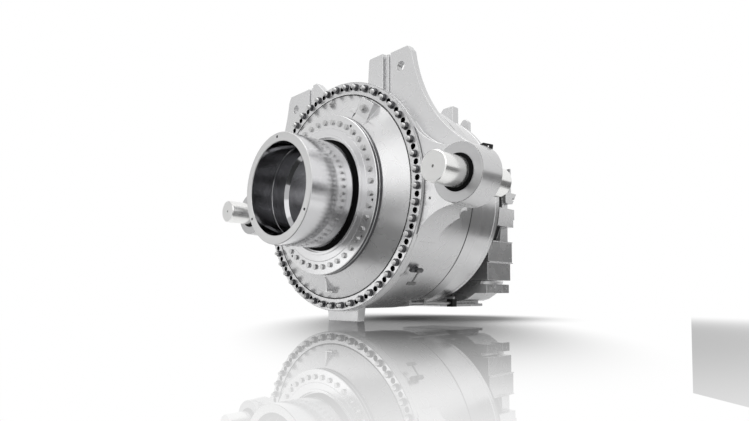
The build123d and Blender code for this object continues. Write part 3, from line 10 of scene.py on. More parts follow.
import bmesh
import bpy
import numpy as np
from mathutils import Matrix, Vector


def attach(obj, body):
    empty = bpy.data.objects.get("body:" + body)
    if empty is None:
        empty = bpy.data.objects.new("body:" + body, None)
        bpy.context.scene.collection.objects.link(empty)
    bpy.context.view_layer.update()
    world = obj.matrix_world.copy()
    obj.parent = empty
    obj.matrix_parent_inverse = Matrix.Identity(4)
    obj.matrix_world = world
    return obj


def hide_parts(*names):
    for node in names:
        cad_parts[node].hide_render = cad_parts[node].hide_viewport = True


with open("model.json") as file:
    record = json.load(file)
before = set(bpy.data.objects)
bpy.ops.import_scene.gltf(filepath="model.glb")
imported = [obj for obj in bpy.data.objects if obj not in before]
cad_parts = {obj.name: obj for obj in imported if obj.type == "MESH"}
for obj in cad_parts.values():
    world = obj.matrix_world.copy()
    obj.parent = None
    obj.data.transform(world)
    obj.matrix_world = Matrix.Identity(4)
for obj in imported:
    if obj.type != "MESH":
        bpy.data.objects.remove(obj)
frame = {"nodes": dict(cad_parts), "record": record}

LOG = logging.getLogger("gearbox")

Pair = tuple[float, float]
Point = tuple[float, float, float]
Shape = tuple[np.ndarray, np.ndarray]
Rule = Callable[[np.ndarray, np.ndarray], np.ndarray]
Tree = bpy.types.NodeTree
Socket = bpy.types.NodeSocket
Object = bpy.types.Object

# Lengths are in metres and angles in degrees. The main axis is Y, and +Y points to the rear.
STUD_CIRCLE = 0.850  # Radius of the circle of studs, with the dowel holes between them.
STUD_COUNT = 48
FIRST_STUD = 88.125
PIN_X = 1.200  # Distance of the torque pins' axes from the middle.
FLOOR_Z = -0.972
CARD_Z = FLOOR_Z + 0.006  # Height of the cards that lie on the floor.
NUT_WAVE = (2.4, 0.5)  # Step and size, in radians, of the wave that turns each nut differently.
HEAD_WAVE = (1.7, 0.6)  # The same for the bolt heads.
ANY = math.inf


def rounded(points: list[Pair], radius: float, steps: int) -> np.ndarray:
    """Profile with each corner replaced by a short arc.

    The arc starts and ends a set-back from the corner, on its two runs, and its points are
    the quadratic blend (1-t)^2 a + 2t(1-t) corner + t^2 b, which is tangent to both runs.

    Args:
        points: Corners of a closed profile as (radius, y) pairs, in order.
        radius: Wanted set-back; each corner's is at most 0.45 of its shorter run.
        steps: Number of spans in each arc.

    Returns:
        Array of shape (n, 2) with the profile's points.
    """
    corner = np.asarray(points, dtype=float)
    before = np.roll(corner, 1, axis=0)
    after = np.roll(corner, -1, axis=0)
    back = np.linalg.norm(before - corner, axis=1)
    ahead = np.linalg.norm(after - corner, axis=1)
    reach = np.minimum(radius, 0.45 * np.minimum(back, ahead))[:, None]
    start = corner + (before - corner) / back[:, None] * reach
    end = corner + (after - corner) / ahead[:, None] * reach
    t = np.linspace(0.0, 1.0, steps + 1)[None, :, None]
    arc = (1 - t) ** 2 * start[:, None] + 2 * t * (1 - t) * corner[:, None] + t**2 * end[:, None]
    return arc.reshape(-1, 2)


def ring_profile(radii: Pair, ends: Pair, easing: float, steps: int) -> np.ndarray:
    """Profile of a ring of rectangular section with eased edges.

    Args:
        radii: Inner and outer radius.
        ends: y of its two ends.
        easing: Set-back of the rounded edges.
        steps: Number of spans in each arc.

    Returns:
        Array of shape (n, 2) with the profile's points.
    """
    inner, outer = radii
    first, last = ends
    return rounded([(inner, first), (outer, first), (outer, last), (inner, last)], easing, steps)


def turned(profile: np.ndarray, segments: int, centre: Pair = (0.0, 0.0), closed: bool = True) -> Shape:
    """Surface of a profile turned about an axis along Y.

    A point (r, y) goes to (cx + r cos a, y, cz + r sin a) for a from 0 to a full turn.

    Args:
        profile: (radius, y) pairs of a closed profile, or of an open one that ends on the axis.
        segments: Number of steps round the axis.
        centre: The axis' place (x, z).
        closed: Whether the profile is closed.

    Returns:
        Vertices of shape (n, 3) and quads of shape (m, 4), with a pole's vertices doubled.
    """
    angle = np.linspace(0.0, 2 * np.pi, segments, endpoint=False)
    radius, y = profile[:, 0], profile[:, 1]
    x = centre[0] + radius[None, :] * np.cos(angle)[:, None]
    z = centre[1] + radius[None, :] * np.sin(angle)[:, None]
    vertices = np.stack([x, np.broadcast_to(y, x.shape), z], axis=-1).reshape(-1, 3)
    return vertices, grid_faces(segments, len(profile), closed)


def grid_faces(rows: int, columns: int, closed: bool) -> np.ndarray:
    """Quads of a grid of points whose last row meets the first.

    Args:
        rows: Number of points along the first parameter.
        columns: Number of points along the second parameter.
        closed: Whether the last column meets the first too.

    Returns:
        Array of shape (m, 4) with the quads' corners.
    """
    steps = np.meshgrid(np.arange(rows), np.arange(columns if closed else columns - 1), indexing="ij")
    i, j = (step.ravel() for step in steps)
    ii, jj = (i + 1) % rows, (j + 1) % columns
    return np.stack([i * columns + j, i * columns + jj, ii * columns + jj, ii * columns + j], axis=-1)


def circle_places(radius: float, count: int, first: float, y: float) -> tuple[np.ndarray, np.ndarray]:
    """Even places on a circle about the main axis.

    Args:
        radius: The circle's radius.
        count: Number of places.
        first: Angle of the first, from +X towards +Z.
        y: Their y.

    Returns:
        Places of shape (count, 3), and the angle of each in radians.
    """
    angle = np.radians(first + np.arange(count) * 360.0 / count)
    return np.stack([radius * np.cos(angle), np.full(count, y), radius * np.sin(angle)], axis=1), angle


def hexagon_piece(across: float, height: float, bore: float, both: bool, segments: int) -> Shape:
    """Hexagon nut or bolt head with 30 degree chamfers, standing from y = 0 to y = -height.

    The side's reach h is half the width across flats at a side's middle, and away from it by an
    angle a it is that half divided by cos a. A cone of 30 degrees cuts the corners: it starts
    from a circle of 0.94 of the half width and meets the side (h - that) tan 30 lower.
    A seat without a chamfer has a step of 0.2 mm at a thousandth less than the full reach.

    Args:
        across: Width across flats.
        height: Height.
        bore: Radius of the bore, or 0 for a bolt head.
        both: Whether the seat is chamfered too.
        segments: Steps round the axis.

    Returns:
        Vertices and quads, with the pole's vertices doubled where there is no bore.
    """
    angle = np.linspace(0.0, 2 * np.pi, segments, endpoint=False)
    reach = across / 2 / np.cos(np.mod(angle + np.pi / 6, np.pi / 3) - np.pi / 6)
    circle = np.full_like(reach, 0.94 * across / 2)
    drop = (reach - circle) * math.tan(math.radians(30))
    flat = np.zeros_like(reach)
    base, low = (circle, drop) if both else (reach * 0.999, flat + 0.0002)
    radius = np.stack([flat + bore, base, reach, reach, circle, flat + bore], axis=1)
    rise = np.stack([flat, flat, low, height - drop, flat + height, flat + height], axis=1)
    x = radius * np.cos(angle)[:, None]
    z = radius * np.sin(angle)[:, None]
    vertices = np.stack([x, -rise, z], axis=-1).reshape(-1, 3)
    return vertices, grid_faces(segments, radius.shape[1], bore > 0)


def threaded_end(radius: float, ends: Pair, pitch: float, depth: float) -> np.ndarray:
    """Open profile of a stud along Y, with turned grooves for its thread.

    Ridge and root alternate each half pitch over seven pitches from the free end, and the free
    end has a chamfer of two depths.

    Args:
        radius: The stud's radius.
        ends: y of the free end and of the buried end, which is the higher one.
        pitch: Distance between the ridges.
        depth: Depth of the roots.

    Returns:
        (radius, y) pairs from the free end to the buried end.
    """
    start, end = ends
    ridges = np.arange(start + 3 * depth, start + 7 * pitch, pitch)
    ridge = np.stack([np.full_like(ridges, radius), ridges], axis=1)
    root = np.stack([np.full_like(ridges, radius - depth), ridges + pitch / 2], axis=1)
    thread = np.stack([ridge, root], axis=1).reshape(-1, 2)
    head = np.array([[0.0, start], [radius - 2 * depth, start], [radius - depth, start + depth]])
    tail = np.array([[radius, thread[-1, 1] + pitch / 2], [radius, end], [0.0, end]])
    return np.concatenate([head, thread, tail])


def repeated(shape: Shape, places: np.ndarray, turns: np.ndarray, flip: bool = False) -> Shape:
    """Copies of a shape, each turned about Y and moved to its place.

    A vertex (x, y, z) goes to (x cos t - z sin t, y, x sin t + z cos t) plus the place.

    Args:
        shape: Vertices and faces of one copy.
        places: Array of shape (n, 3).
        turns: Turn of each copy in radians.
        flip: Whether the copies point to +Y.

    Returns:
        Vertices and faces of all copies.
    """
    vertices, faces = shape
    if flip:
        vertices = vertices * np.array([1.0, -1.0, 1.0])
    cos, sin = np.cos(turns)[:, None], np.sin(turns)[:, None]
    x = vertices[None, :, 0] * cos - vertices[None, :, 2] * sin
    z = vertices[None, :, 0] * sin + vertices[None, :, 2] * cos
    y = np.broadcast_to(vertices[None, :, 1], x.shape)
    moved = np.stack([x, y, z], axis=-1) + places[:, None, :]
    steps = np.arange(len(places))[:, None, None] * len(vertices)
    return moved.reshape(-1, 3), (faces[None] + steps).reshape(-1, faces.shape[1])


def joined(*shapes: Shape) -> Shape:
    """Several shapes as one list of vertices and quads.

    Args:
        shapes: Vertices and quads of each.

    Returns:
        All vertices and all quads.
    """
    starts = np.cumsum([0] + [len(vertices) for vertices, _ in shapes[:-1]])
    faces = np.concatenate([quads + start for (_, quads), start in zip(shapes, starts)])
    return np.concatenate([vertices for vertices, _ in shapes]), faces


def column(items: bpy.types.bpy_prop_collection, name: str, width: int, kind: type) -> np.ndarray:
    """One property of a mesh's items as an array.

    Args:
        items: The mesh's vertices, triangles or polygons.
        name: The property's name.
        width: How many numbers each item has.
        kind: The numbers' type.

    Returns:
        Array of shape (n, width).
    """
    values = np.empty(len(items) * width, dtype=kind)
    items.foreach_get(name, values)
    return values.reshape(-1, width)


def noise(tree: Tree, vector: Socket, scale: float, detail: float) -> Socket:
    """Noise texture's value.

    Args:
        tree: Tree to add the node to.
        vector: Coordinates that it reads.
        scale: Cycles per metre.
        detail: Octaves.

    Returns:
        The value's socket.
    """
    node = tree.nodes.new("ShaderNodeTexNoise")
    node.inputs["Scale"].default_value = scale
    node.inputs["Detail"].default_value = detail
    tree.links.new(vector, node.inputs["Vector"])
    return node.outputs["Fac"]


def maths(tree: Tree, kind: str, *values: Socket | float) -> Socket:
    """Math node on sockets and numbers.

    Args:
        tree: Tree to add the node to.
        kind: Operation's name.
        values: Sockets or plain numbers.

    Returns:
        The result's socket.
    """
    node = tree.nodes.new("ShaderNodeMath")
    node.operation = kind
    for socket, value in zip(node.inputs, values):
        if isinstance(value, (int, float)):
            socket.default_value = value
        else:
            tree.links.new(value, socket)
    return node.outputs[0]


def blend(tree: Tree, first: Socket, second: Socket, share: float) -> Socket:
    """Sum of two values, the first by its share and the second by the rest.

    Args:
        tree: Tree to add the nodes to.
        first: The first value.
        second: The second value.
        share: The first value's share.

    Returns:
        The sum's socket.
    """
    rest = maths(tree, "MULTIPLY", second, 1.0 - share)
    return maths(tree, "ADD", maths(tree, "MULTIPLY", first, share), rest)


def mixed(tree: Tree, share: Socket, first: Socket, second: Socket) -> Socket:
    """Mix of two shaders.

    Args:
        tree: Tree to add the node to.
        share: The second shader's share.
        first: Shader at a share of 0.
        second: Shader at a share of 1.

    Returns:
        The mix's socket.
    """
    node = tree.nodes.new("ShaderNodeMixShader")
    for socket, value in zip(node.inputs, (share, first, second)):
        tree.links.new(value, socket)
    return node.outputs[0]


class Wear(Enum):
    """Ways in which a finish varies over its surface."""

    CAST = "cast"
    TURNED = "turned"
    PLAIN = "plain"


@dataclass(frozen=True)
class Finish:
    """Finish of one kind of surface.

    Attributes:
        name: Material's name.
        colour: Linear base colour.
        roughness: Mean roughness.
        metallic: Metallic share.
        wear: Which effect varies it.
        relief: Height of the bump.
        tone: Share by which the colour varies.
        brushed: Anisotropy of a turned surface.
        shine: Specular level, 0.5 for a plain varnish and less for a dull black.
    """

    name: str
    colour: Point
    roughness: float
    metallic: float
    wear: Wear
    relief: float
    tone: float
    brushed: float = 0.0
    shine: float = 0.5


CAST_PAINT = Finish("cast_paint", (0.68, 0.68, 0.685), 0.27, 0.65, Wear.CAST, 0.00003, 0.04)
MACHINED_PAINT = Finish("machined_paint", (0.68, 0.68, 0.685), 0.24, 0.72, Wear.TURNED, 0.00004, 0.05)
DRUM_PAINT = Finish("drum_paint", (0.018, 0.018, 0.019), 0.6, 0.0, Wear.CAST, 0.0001, 0.25, shine=0.25)
GRIP_PAINT = Finish("grip_paint", (0.22, 0.22, 0.22), 0.4, 0.3, Wear.PLAIN, 0.0001, 0.08)
BOSS_FACE = Finish("boss_face", (0.50, 0.50, 0.505), 0.34, 0.60, Wear.PLAIN, 0.00001, 0.03)
# Dark painted shade for the channel between the bearing cover's rim and the cone.
PAINTED_RIM_SHADE = Finish("painted_rim_shade", (0.12, 0.12, 0.125), 0.35, 0.8, Wear.TURNED, 0.00005, 0.08)
# Black painted shade for open holes, grooves and the seams between castings.
PAINTED_GAP_SHADE = Finish("painted_gap_shade", (0.004, 0.004, 0.004), 0.9, 0.0, Wear.PLAIN, 0.0001, 0.1, shine=0.0)
HUB_STEEL = Finish("hub_steel", (0.68, 0.68, 0.69), 0.15, 1.0, Wear.TURNED, 0.00004, 0.05, brushed=0.5)
PIN_STEEL = Finish("pin_steel", (0.86, 0.86, 0.85), 0.22, 0.90, Wear.PLAIN, 0.00001, 0.03)
GEAR_STEEL = Finish("gear_steel", (0.40, 0.40, 0.41), 0.28, 1.0, Wear.TURNED, 0.00006, 0.10)
BOLT_STEEL = Finish("bolt_steel", (0.11, 0.11, 0.115), 0.34, 0.9, Wear.PLAIN, 0.0001, 0.25)
STUD_STEEL = Finish("stud_steel", (0.48, 0.48, 0.48), 0.32, 0.9, Wear.PLAIN, 0.0001, 0.10)
BORE_STEEL = Finish("bore_steel", (0.42, 0.42, 0.43), 0.10, 1.0, Wear.TURNED, 0.00003, 0.08)
FACE_STEEL = Finish("face_steel", (0.61, 0.61, 0.61), 0.45, 0.6, Wear.TURNED, 0.00005, 0.04)
PIN_FACE = Finish("pin_face", (0.94, 0.94, 0.93), 0.55, 0.2, Wear.TURNED, 0.00004, 0.03)
# Black rubber of the seals; also used as painted shade in the drum's seam and round the torque pins.
RUBBER_AND_GAP_SHADE = Finish("rubber", (0.004, 0.004, 0.004), 0.85, 0.0, Wear.PLAIN, 0.0001, 0.30, shine=0.1)
BLACK_METAL = Finish("black_metal", (0.008, 0.008, 0.008), 0.5, 0.0, Wear.PLAIN, 0.0001, 0.25, shine=0.25)

# Width of the rounded edges of the castings with one finish.
PLAIN_CASTINGS = {
    "rear_housing": 0.003,
    "oil_pan": 0.003,
    "front_lug_right": 0.004,
    "front_lug_left": 0.004,
    "rear_lug_right": 0.003,
    "rear_lug_left": 0.003,
}
FINISH_NODES = {
    CAST_PAINT: ("torque_arm_housing", "front_cover", "intermediate_housing", *PLAIN_CASTINGS),
    MACHINED_PAINT: ("bearing_cover", "ring_gear_first", "rear_cover"),
    DRUM_PAINT: ("second_stage_housing",),
    GRIP_PAINT: ("sampling_lever",),
    HUB_STEEL: ("input_hub",),
    PIN_STEEL: ("torque_pin_right", "torque_pin_left", "output_flange", "output_shaft"),
    BOLT_STEEL: ("flange_studs", "sampling_valve"),
    STUD_STEEL: ("cover_bolts", "rear_cover_bolts", "oil_pipe", "pad_sensor", "cover_plug"),
    RUBBER_AND_GAP_SHADE: ("hub_seal_ring", "pin_seal_right", "pin_seal_left", "output_seal"),
    BLACK_METAL: ("oil_connector", "cable_bracket", "breather"),
}
NODE_FINISH = {node: finish for finish, nodes in FINISH_NODES.items() for node in nodes}


@dataclass
class EffectGroups:
    """Shader node groups that several finishes share, built once.

    Attributes:
        groups: The node group of each kind of wear.
        cast_scales: Cycles per metre of a casting's broad patches, its skin and its grain.
        ring_scales: Cycles per metre of a turned surface's fine lines and wider bands.
        patch_scale: Cycles per metre of the patches on a turned surface.
        mark_scales: Cycles per metre of a small part's handling marks and its grain.
    """

    groups: dict[Wear, Tree] = field(default_factory=dict)
    cast_scales: Point = (2.2, 9.0, 40.0)
    ring_scales: Pair = (260.0, 22.0)
    patch_scale: float = 3.0
    mark_scales: Pair = (45.0, 300.0)

    def build(self) -> None:
        """Makes every group."""
        self.groups[Wear.CAST] = self.cast()
        self.groups[Wear.TURNED] = self.turned()
        self.groups[Wear.PLAIN] = self.plain()

    def blank(self, name: str) -> tuple[Tree, bpy.types.Node, bpy.types.Node]:
        """Empty group with the shared sockets.

        Args:
            name: The group's name.

        Returns:
            The group, its input node and its output node.
        """
        tree = bpy.data.node_groups.new(name, "ShaderNodeTree")
        for way, label, kind in (
            ("INPUT", "Colour", "NodeSocketColor"),
            ("INPUT", "Tone", "NodeSocketFloat"),
            ("INPUT", "Roughness", "NodeSocketFloat"),
            ("OUTPUT", "Colour", "NodeSocketColor"),
            ("OUTPUT", "Roughness", "NodeSocketFloat"),
            ("OUTPUT", "Height", "NodeSocketFloat"),
        ):
            tree.interface.new_socket(label, in_out=way, socket_type=kind)
        return tree, tree.nodes.new("NodeGroupInput"), tree.nodes.new("NodeGroupOutput")

    def finish(
        self, tree: Tree, ends: list[bpy.types.Node], tone: Socket, rough: Socket, height: Socket
    ) -> Tree:
        """Joins masks to the group's outputs.

        The colour is scaled by 1 + Tone (tone - 0.5) 2 and the roughness by 0.75 + rough / 2.

        Args:
            tree: The group.
            ends: Its input node and its output node.
            tone: Mask that varies the colour.
            rough: Mask that varies the roughness.
            height: Relief from 0 to 1.

        Returns:
            The group.
        """
        source, sink = ends
        swing = maths(tree, "MULTIPLY", maths(tree, "SUBTRACT", tone, 0.5), 2.0)
        scale = maths(tree, "ADD", maths(tree, "MULTIPLY", swing, source.outputs["Tone"]), 1.0)
        colour = tree.nodes.new("ShaderNodeVectorMath")
        colour.operation = "SCALE"
        tree.links.new(source.outputs["Colour"], colour.inputs[0])
        tree.links.new(scale, colour.inputs["Scale"])
        tree.links.new(colour.outputs[0], sink.inputs["Colour"])
        factor = maths(tree, "ADD", maths(tree, "MULTIPLY", rough, 0.5), 0.75)
        roughness = maths(tree, "MULTIPLY", factor, source.outputs["Roughness"])
        tree.links.new(roughness, sink.inputs["Roughness"])
        tree.links.new(height, sink.inputs["Height"])
        return tree

    def cast(self) -> Tree:
        """Painted casting: broad soft patches, and the fine skin of sprayed paint over sand-cast iron.

        Returns:
            The group.
        """
        tree, *ends = self.blank("cast_skin")
        place = tree.nodes.new("ShaderNodeTexCoord").outputs["Object"]
        broad, middle, fine = (noise(tree, place, scale, 1.0) for scale in self.cast_scales)
        tone = blend(tree, broad, middle, 0.7)
        return self.finish(tree, ends, tone, middle, blend(tree, middle, fine, 0.8))

    def turned(self) -> Tree:
        """Turned surface: fine rings about the main axis, as a lathe leaves them, and slight patches.

        Returns:
            The group.
        """
        tree, *ends = self.blank("turned_rings")
        place = tree.nodes.new("ShaderNodeTexCoord").outputs["Object"]
        split = tree.nodes.new("ShaderNodeSeparateXYZ")
        tree.links.new(place, split.inputs[0])
        x, y, z = split.outputs
        square = maths(tree, "ADD", maths(tree, "MULTIPLY", x, x), maths(tree, "MULTIPLY", z, z))
        ring = tree.nodes.new("ShaderNodeCombineXYZ")
        tree.links.new(maths(tree, "SQRT", square), ring.inputs[0])
        tree.links.new(y, ring.inputs[1])
        lines, bands = (noise(tree, ring.outputs[0], scale, 2.0) for scale in self.ring_scales)
        patch = noise(tree, place, self.patch_scale, 3.0)
        return self.finish(tree, ends, blend(tree, bands, patch, 0.5), bands, lines)

    def plain(self) -> Tree:
        """Small part: light handling marks only.

        Returns:
            The group.
        """
        tree, *ends = self.blank("handled")
        place = tree.nodes.new("ShaderNodeTexCoord").outputs["Object"]
        marks = noise(tree, place, self.mark_scales[0], 4.0)
        fine = noise(tree, place, self.mark_scales[1], 2.0)
        return self.finish(tree, ends, marks, marks, fine)


@dataclass
class Finishes:
    """Materials of the gearbox, one for each finish.

    Attributes:
        effects: Shared node groups.
        made: Materials by their finish's name.
    """

    effects: EffectGroups
    made: dict[str, bpy.types.Material] = field(default_factory=dict)

    def material(self, finish: Finish) -> bpy.types.Material:
        """Material of a finish, made on first use.

        Args:
            finish: The finish.

        Returns:
            Its material.
        """
        if finish.name not in self.made:
            self.made[finish.name] = self.build(finish)
        return self.made[finish.name]

    def build(self, finish: Finish) -> bpy.types.Material:
        """New material for a finish.

        Args:
            finish: The finish.

        Returns:
            The material.
        """
        material = bpy.data.materials.new(finish.name)
        material.use_nodes = True
        tree = material.node_tree
        shader = tree.nodes["Principled BSDF"]
        effect = tree.nodes.new("ShaderNodeGroup")
        effect.node_tree = self.effects.groups[finish.wear]
        effect.inputs["Colour"].default_value = (*finish.colour, 1.0)
        effect.inputs["Tone"].default_value = finish.tone
        effect.inputs["Roughness"].default_value = finish.roughness
        tree.links.new(effect.outputs["Colour"], shader.inputs["Base Color"])
        tree.links.new(effect.outputs["Roughness"], shader.inputs["Roughness"])
        bump = tree.nodes.new("ShaderNodeBump")
        bump.inputs["Distance"].default_value = finish.relief
        tree.links.new(effect.outputs["Height"], bump.inputs["Height"])
        tree.links.new(bump.outputs["Normal"], shader.inputs["Normal"])
        shader.inputs["Metallic"].default_value = finish.metallic
        shader.inputs["Specular IOR Level"].default_value = finish.shine
        shader.inputs["Anisotropic"].default_value = finish.brushed
        if finish.brushed:
            tangent = tree.nodes.new("ShaderNodeTangent")
            tangent.direction_type = "RADIAL"
            tangent.axis = "Y"
            tree.links.new(tangent.outputs[0], shader.inputs["Tangent"])
        return material

    def dress(self, obj: Object, finish: Finish) -> None:
        """Gives an object one finish all over."""
        obj.data.materials.clear()
        obj.data.materials.append(self.material(finish))


@dataclass
class Workshop:
    """Makes the pieces, and places them on their bodies.

    Attributes:
        finishes: Materials of the gearbox.
        bodies: Body that each CAD node rides on.
        slots: Material slot of each CAD node.
        crease: Angle above which an edge is shaded sharp.
        corner: Angle above which an edge of a casting is rounded.
        level: Angle below which neighbouring triangles count as one plane.
        merge: Distance within which vertices are merged.
    """

    finishes: Finishes
    bodies: dict[str, str]
    slots: dict[str, str]
    crease: float = 24.0
    corner: float = 38.0
    level: float = 0.3
    merge: float = 2e-6

    def settle(self, obj: Object, body: str, slot: str) -> None:
        """Links an object, gives it its body, and reports it with its slot.

        Args:
            obj: The object.
            body: Body that it rides on.
            slot: The record's material slot.
        """
        bpy.context.scene.collection.objects.link(obj)
        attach(obj, body)
        LOG.info("%s on body %s, slot %s", obj.name, body, slot)

    def clean(self, mesh: bpy.types.Mesh, flat: bool) -> None:
        """Merges a mesh's doubled vertices, turns its faces outward and shades it smooth.

        Edges sharper than the crease angle stay sharp.

        Args:
            mesh: The mesh.
            flat: Whether triangles that lie in one plane become one face.
        """
        work = bmesh.new()
        work.from_mesh(mesh)
        bmesh.ops.remove_doubles(work, verts=work.verts[:], dist=self.merge)
        if flat:
            level = math.radians(self.level)
            bmesh.ops.dissolve_limit(work, angle_limit=level, verts=work.verts[:], edges=work.edges[:])
        bmesh.ops.recalc_face_normals(work, faces=work.faces[:])
        work.to_mesh(mesh)
        work.free()
        mesh.shade_smooth()
        mesh.set_sharp_from_angle(angle=math.radians(self.crease))

    def ease(self, obj: Object, width: float) -> None:
        """Rounds an object's sharp edges.

        Args:
            obj: The object.
            width: Width of the rounding.
        """
        bevel = obj.modifiers.new("ease", "BEVEL")
        bevel.width = width
        bevel.segments = 2
        bevel.limit_method = "ANGLE"
        bevel.angle_limit = math.radians(self.corner)
        bevel.use_clamp_overlap = False
        bevel.harden_normals = True

    def piece(
        self, name: str, shape: Shape, finish: Finish, nodes: tuple[str, ...] = (), slot: str = "bolt_steel"
    ) -> None:
        """Makes a piece from a shape.

        Args:
            name: The piece's name.
            shape: Vertices and quads.
            finish: Its finish.
            nodes: CAD nodes that it stands for, whose body and slot it takes.
            slot: Slot where it stands for none, and rides on the housing.
        """
        vertices, faces = shape
        mesh = bpy.data.meshes.new(name)
        mesh.from_pydata(vertices.tolist(), [], faces.tolist())
        self.clean(mesh, False)
        obj = bpy.data.objects.new(name, mesh)
        self.finishes.dress(obj, finish)
        body = "housing"
        if nodes:
            body, slot = self.bodies[nodes[0]], self.slots[nodes[0]]
        self.settle(obj, body, slot)
        if nodes:
            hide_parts(*nodes)

    def casting(self, node: str, finish: Finish, width: float) -> Object:
        """Merged copy of a CAD node with its sharp edges rounded.

        Args:
            node: The node's name.
            finish: Its finish.
            width: Width of the rounding, or 0 for none.

        Returns:
            The copy, which stands for the node.
        """
        source = frame["nodes"][node].data
        source.calc_loop_triangles()
        places = column(source.vertices, "co", 3, np.float32)
        corners = column(source.loop_triangles, "vertices", 3, np.int32)
        mesh = bpy.data.meshes.new(node + "_eased")
        mesh.from_pydata(places.tolist(), [], corners.tolist())
        self.clean(mesh, True)
        obj = bpy.data.objects.new(node + "_eased", mesh)
        self.finishes.dress(obj, finish)
        self.settle(obj, self.bodies[node], self.slots[node])
        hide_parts(node)
        if width:
            self.ease(obj, width)
        return obj

    def paint(self, obj: Object, finish: Finish, rule: Rule) -> None:
        """Gives some of an object's faces a second finish.

        Args:
            obj: The object.
            finish: The finish.
            rule: Takes the faces' centres and normals, each of shape (n, 3), and says which to paint.
        """
        mesh = obj.data
        centres = column(mesh.polygons, "center", 3, np.float32)
        normals = column(mesh.polygons, "normal", 3, np.float32)
        index = column(mesh.polygons, "material_index", 1, np.int32).ravel()
        index[rule(centres, normals)] = len(mesh.materials)
        mesh.materials.append(self.finishes.material(finish))
        mesh.polygons.foreach_set("material_index", index)


@dataclass(frozen=True)
class BoltCircle:
    """Circle of hexagon bolts about the main axis.

    Attributes:
        name: The piece's name.
        node: CAD node that it stands for.
        radius: The circle's radius.
        count: Number of bolts.
        first: Angle of the first.
        y: Face that they stand on.
        flip: Whether they point to +Y.
    """

    name: str
    node: str
    radius: float
    count: int
    first: float
    y: float
    flip: bool


BOLT_CIRCLES = (
    BoltCircle("cover_bolt_heads", "cover_bolts", 0.553, 40, 93.0, 0.406, False),
    BoltCircle("rear_cover_bolt_heads", "rear_cover_bolts", 0.430, 24, 0.0, 2.208, True),
)


@dataclass
class Fasteners:
    """Studs with nuts of the front flange, and the hexagon bolts of both covers.

    Attributes:
        shop: Makes the pieces.
        flange_y: Front face of the flange.
        washer: Inner and outer radius of a washer.
        washer_height: Its thickness.
        nut: A nut's width across flats, height and bore radius.
        stud: A stud's radius, and the pitch and depth of its thread.
        stud_ends: y of a stud's free end and buried end, measured from the flange.
        head: A bolt head's width across flats and height.
        seam_ring: Inner and outer radius of the black ring in the drum's seam, painted shade for the gap.
        seam_ends: y of its two ends.
        lip_ring: Inner and outer radius of a torque pin's black lip, partly the seal and partly painted
            shade for the recess.
        lip_ends: y of its two ends.
    """

    shop: Workshop
    flange_y: float = 0.553
    washer: Pair = (0.0165, 0.027)
    washer_height: float = 0.004
    nut: Point = (0.046, 0.019, 0.0155)
    stud: Point = (0.015, 0.0036, 0.0014)
    stud_ends: Pair = (-0.046, 0.095)
    head: Pair = (0.036, 0.015)
    seam_ring: Pair = (0.862, 0.8716)
    seam_ends: Pair = (1.1612, 1.1745)
    lip_ring: Pair = (0.0989, 0.1195)
    lip_ends: Pair = (0.515, 0.522)

    def build(self) -> None:
        """Makes all fasteners, the black ring of painted shade in the drum's seam, and the pins' black
        lips.
        """
        self.studs()
        self.seam()
        self.lips()
        for circle in BOLT_CIRCLES:
            self.bolts(circle)

    def studs(self) -> None:
        """Makes the studs with their washers and chamfered nuts, which stop at uneven angles."""
        places, angles = circle_places(STUD_CIRCLE, STUD_COUNT, FIRST_STUD, self.flange_y)
        uneven = angles + np.sin(np.arange(STUD_COUNT) * NUT_WAVE[0]) * NUT_WAVE[1]
        washer = turned(ring_profile(self.washer, (0.0, -self.washer_height), 0.001, 2), 40)
        vertices, faces = hexagon_piece(*self.nut, True, 48)
        nut = (vertices - np.array([0.0, self.washer_height, 0.0]), faces)
        radius, pitch, depth = self.stud
        stud = turned(threaded_end(radius, self.stud_ends, pitch, depth), 24, closed=False)
        nuts = repeated(joined(washer, nut), places, uneven)
        self.shop.piece("flange_washers_nuts", nuts, BOLT_STEEL, ("flange_studs",))
        self.shop.piece("flange_stud_ends", repeated(stud, places, angles), STUD_STEEL)

    def seam(self) -> None:
        """Makes a black ring at the seam between the drum's end and the first ring gear, painted shade for
        the shadow in the gap.
        """
        ring = turned(ring_profile(self.seam_ring, self.seam_ends, 0.001, 2), 256)
        # The ring is painted shade for the gap at the seam.
        self.shop.piece("drum_seam", ring, RUBBER_AND_GAP_SHADE, slot="black_rubber")

    def lips(self) -> None:
        """Makes the black lips round the torque pins, in front of their seal rings: partly the seal, partly
        painted shade for the recess round each pin.
        """
        profile = ring_profile(self.lip_ring, self.lip_ends, 0.0015, 3)
        sides = [turned(profile, 96, (x, 0.0)) for x in (PIN_X, -PIN_X)]
        # The lips' black is partly the seal's and partly painted shade in the recess.
        self.shop.piece("pin_lips", joined(*sides), RUBBER_AND_GAP_SHADE, slot="black_rubber")

    def bolts(self, circle: BoltCircle) -> None:
        """Makes a circle of bolts, whose heads stop at uneven angles.

        Args:
            circle: The circle.
        """
        places, angles = circle_places(circle.radius, circle.count, circle.first, circle.y)
        head = hexagon_piece(*self.head, 0.0, False, 36)
        turns = angles + np.cos(np.arange(circle.count) * HEAD_WAVE[0]) * HEAD_WAVE[1]
        self.shop.piece(circle.name, repeated(head, places, turns, circle.flip), STUD_STEEL, (circle.node,))


@dataclass(frozen=True)
class Zone:
    """Ring-shaped zone about an axis along Y, whose faces can get a finish of their own.

    Attributes:
        radius: Distances from the axis between which it lies.
        y: Stations between which it lies.
    """

    radius: Pair = (-ANY, ANY)
    y: Pair = (-ANY, ANY)

    def holds(self, away: np.ndarray, centre: np.ndarray) -> np.ndarray:
        """Says which places lie in the zone.

        Args:
            away: Their distances from the axis.
            centre: The places, of shape (n, 3).

        Returns:
            Whether each lies in it.
        """
        y = centre[:, 1]
        return (away > self.radius[0]) & (away < self.radius[1]) & (y > self.y[0]) & (y < self.y[1])
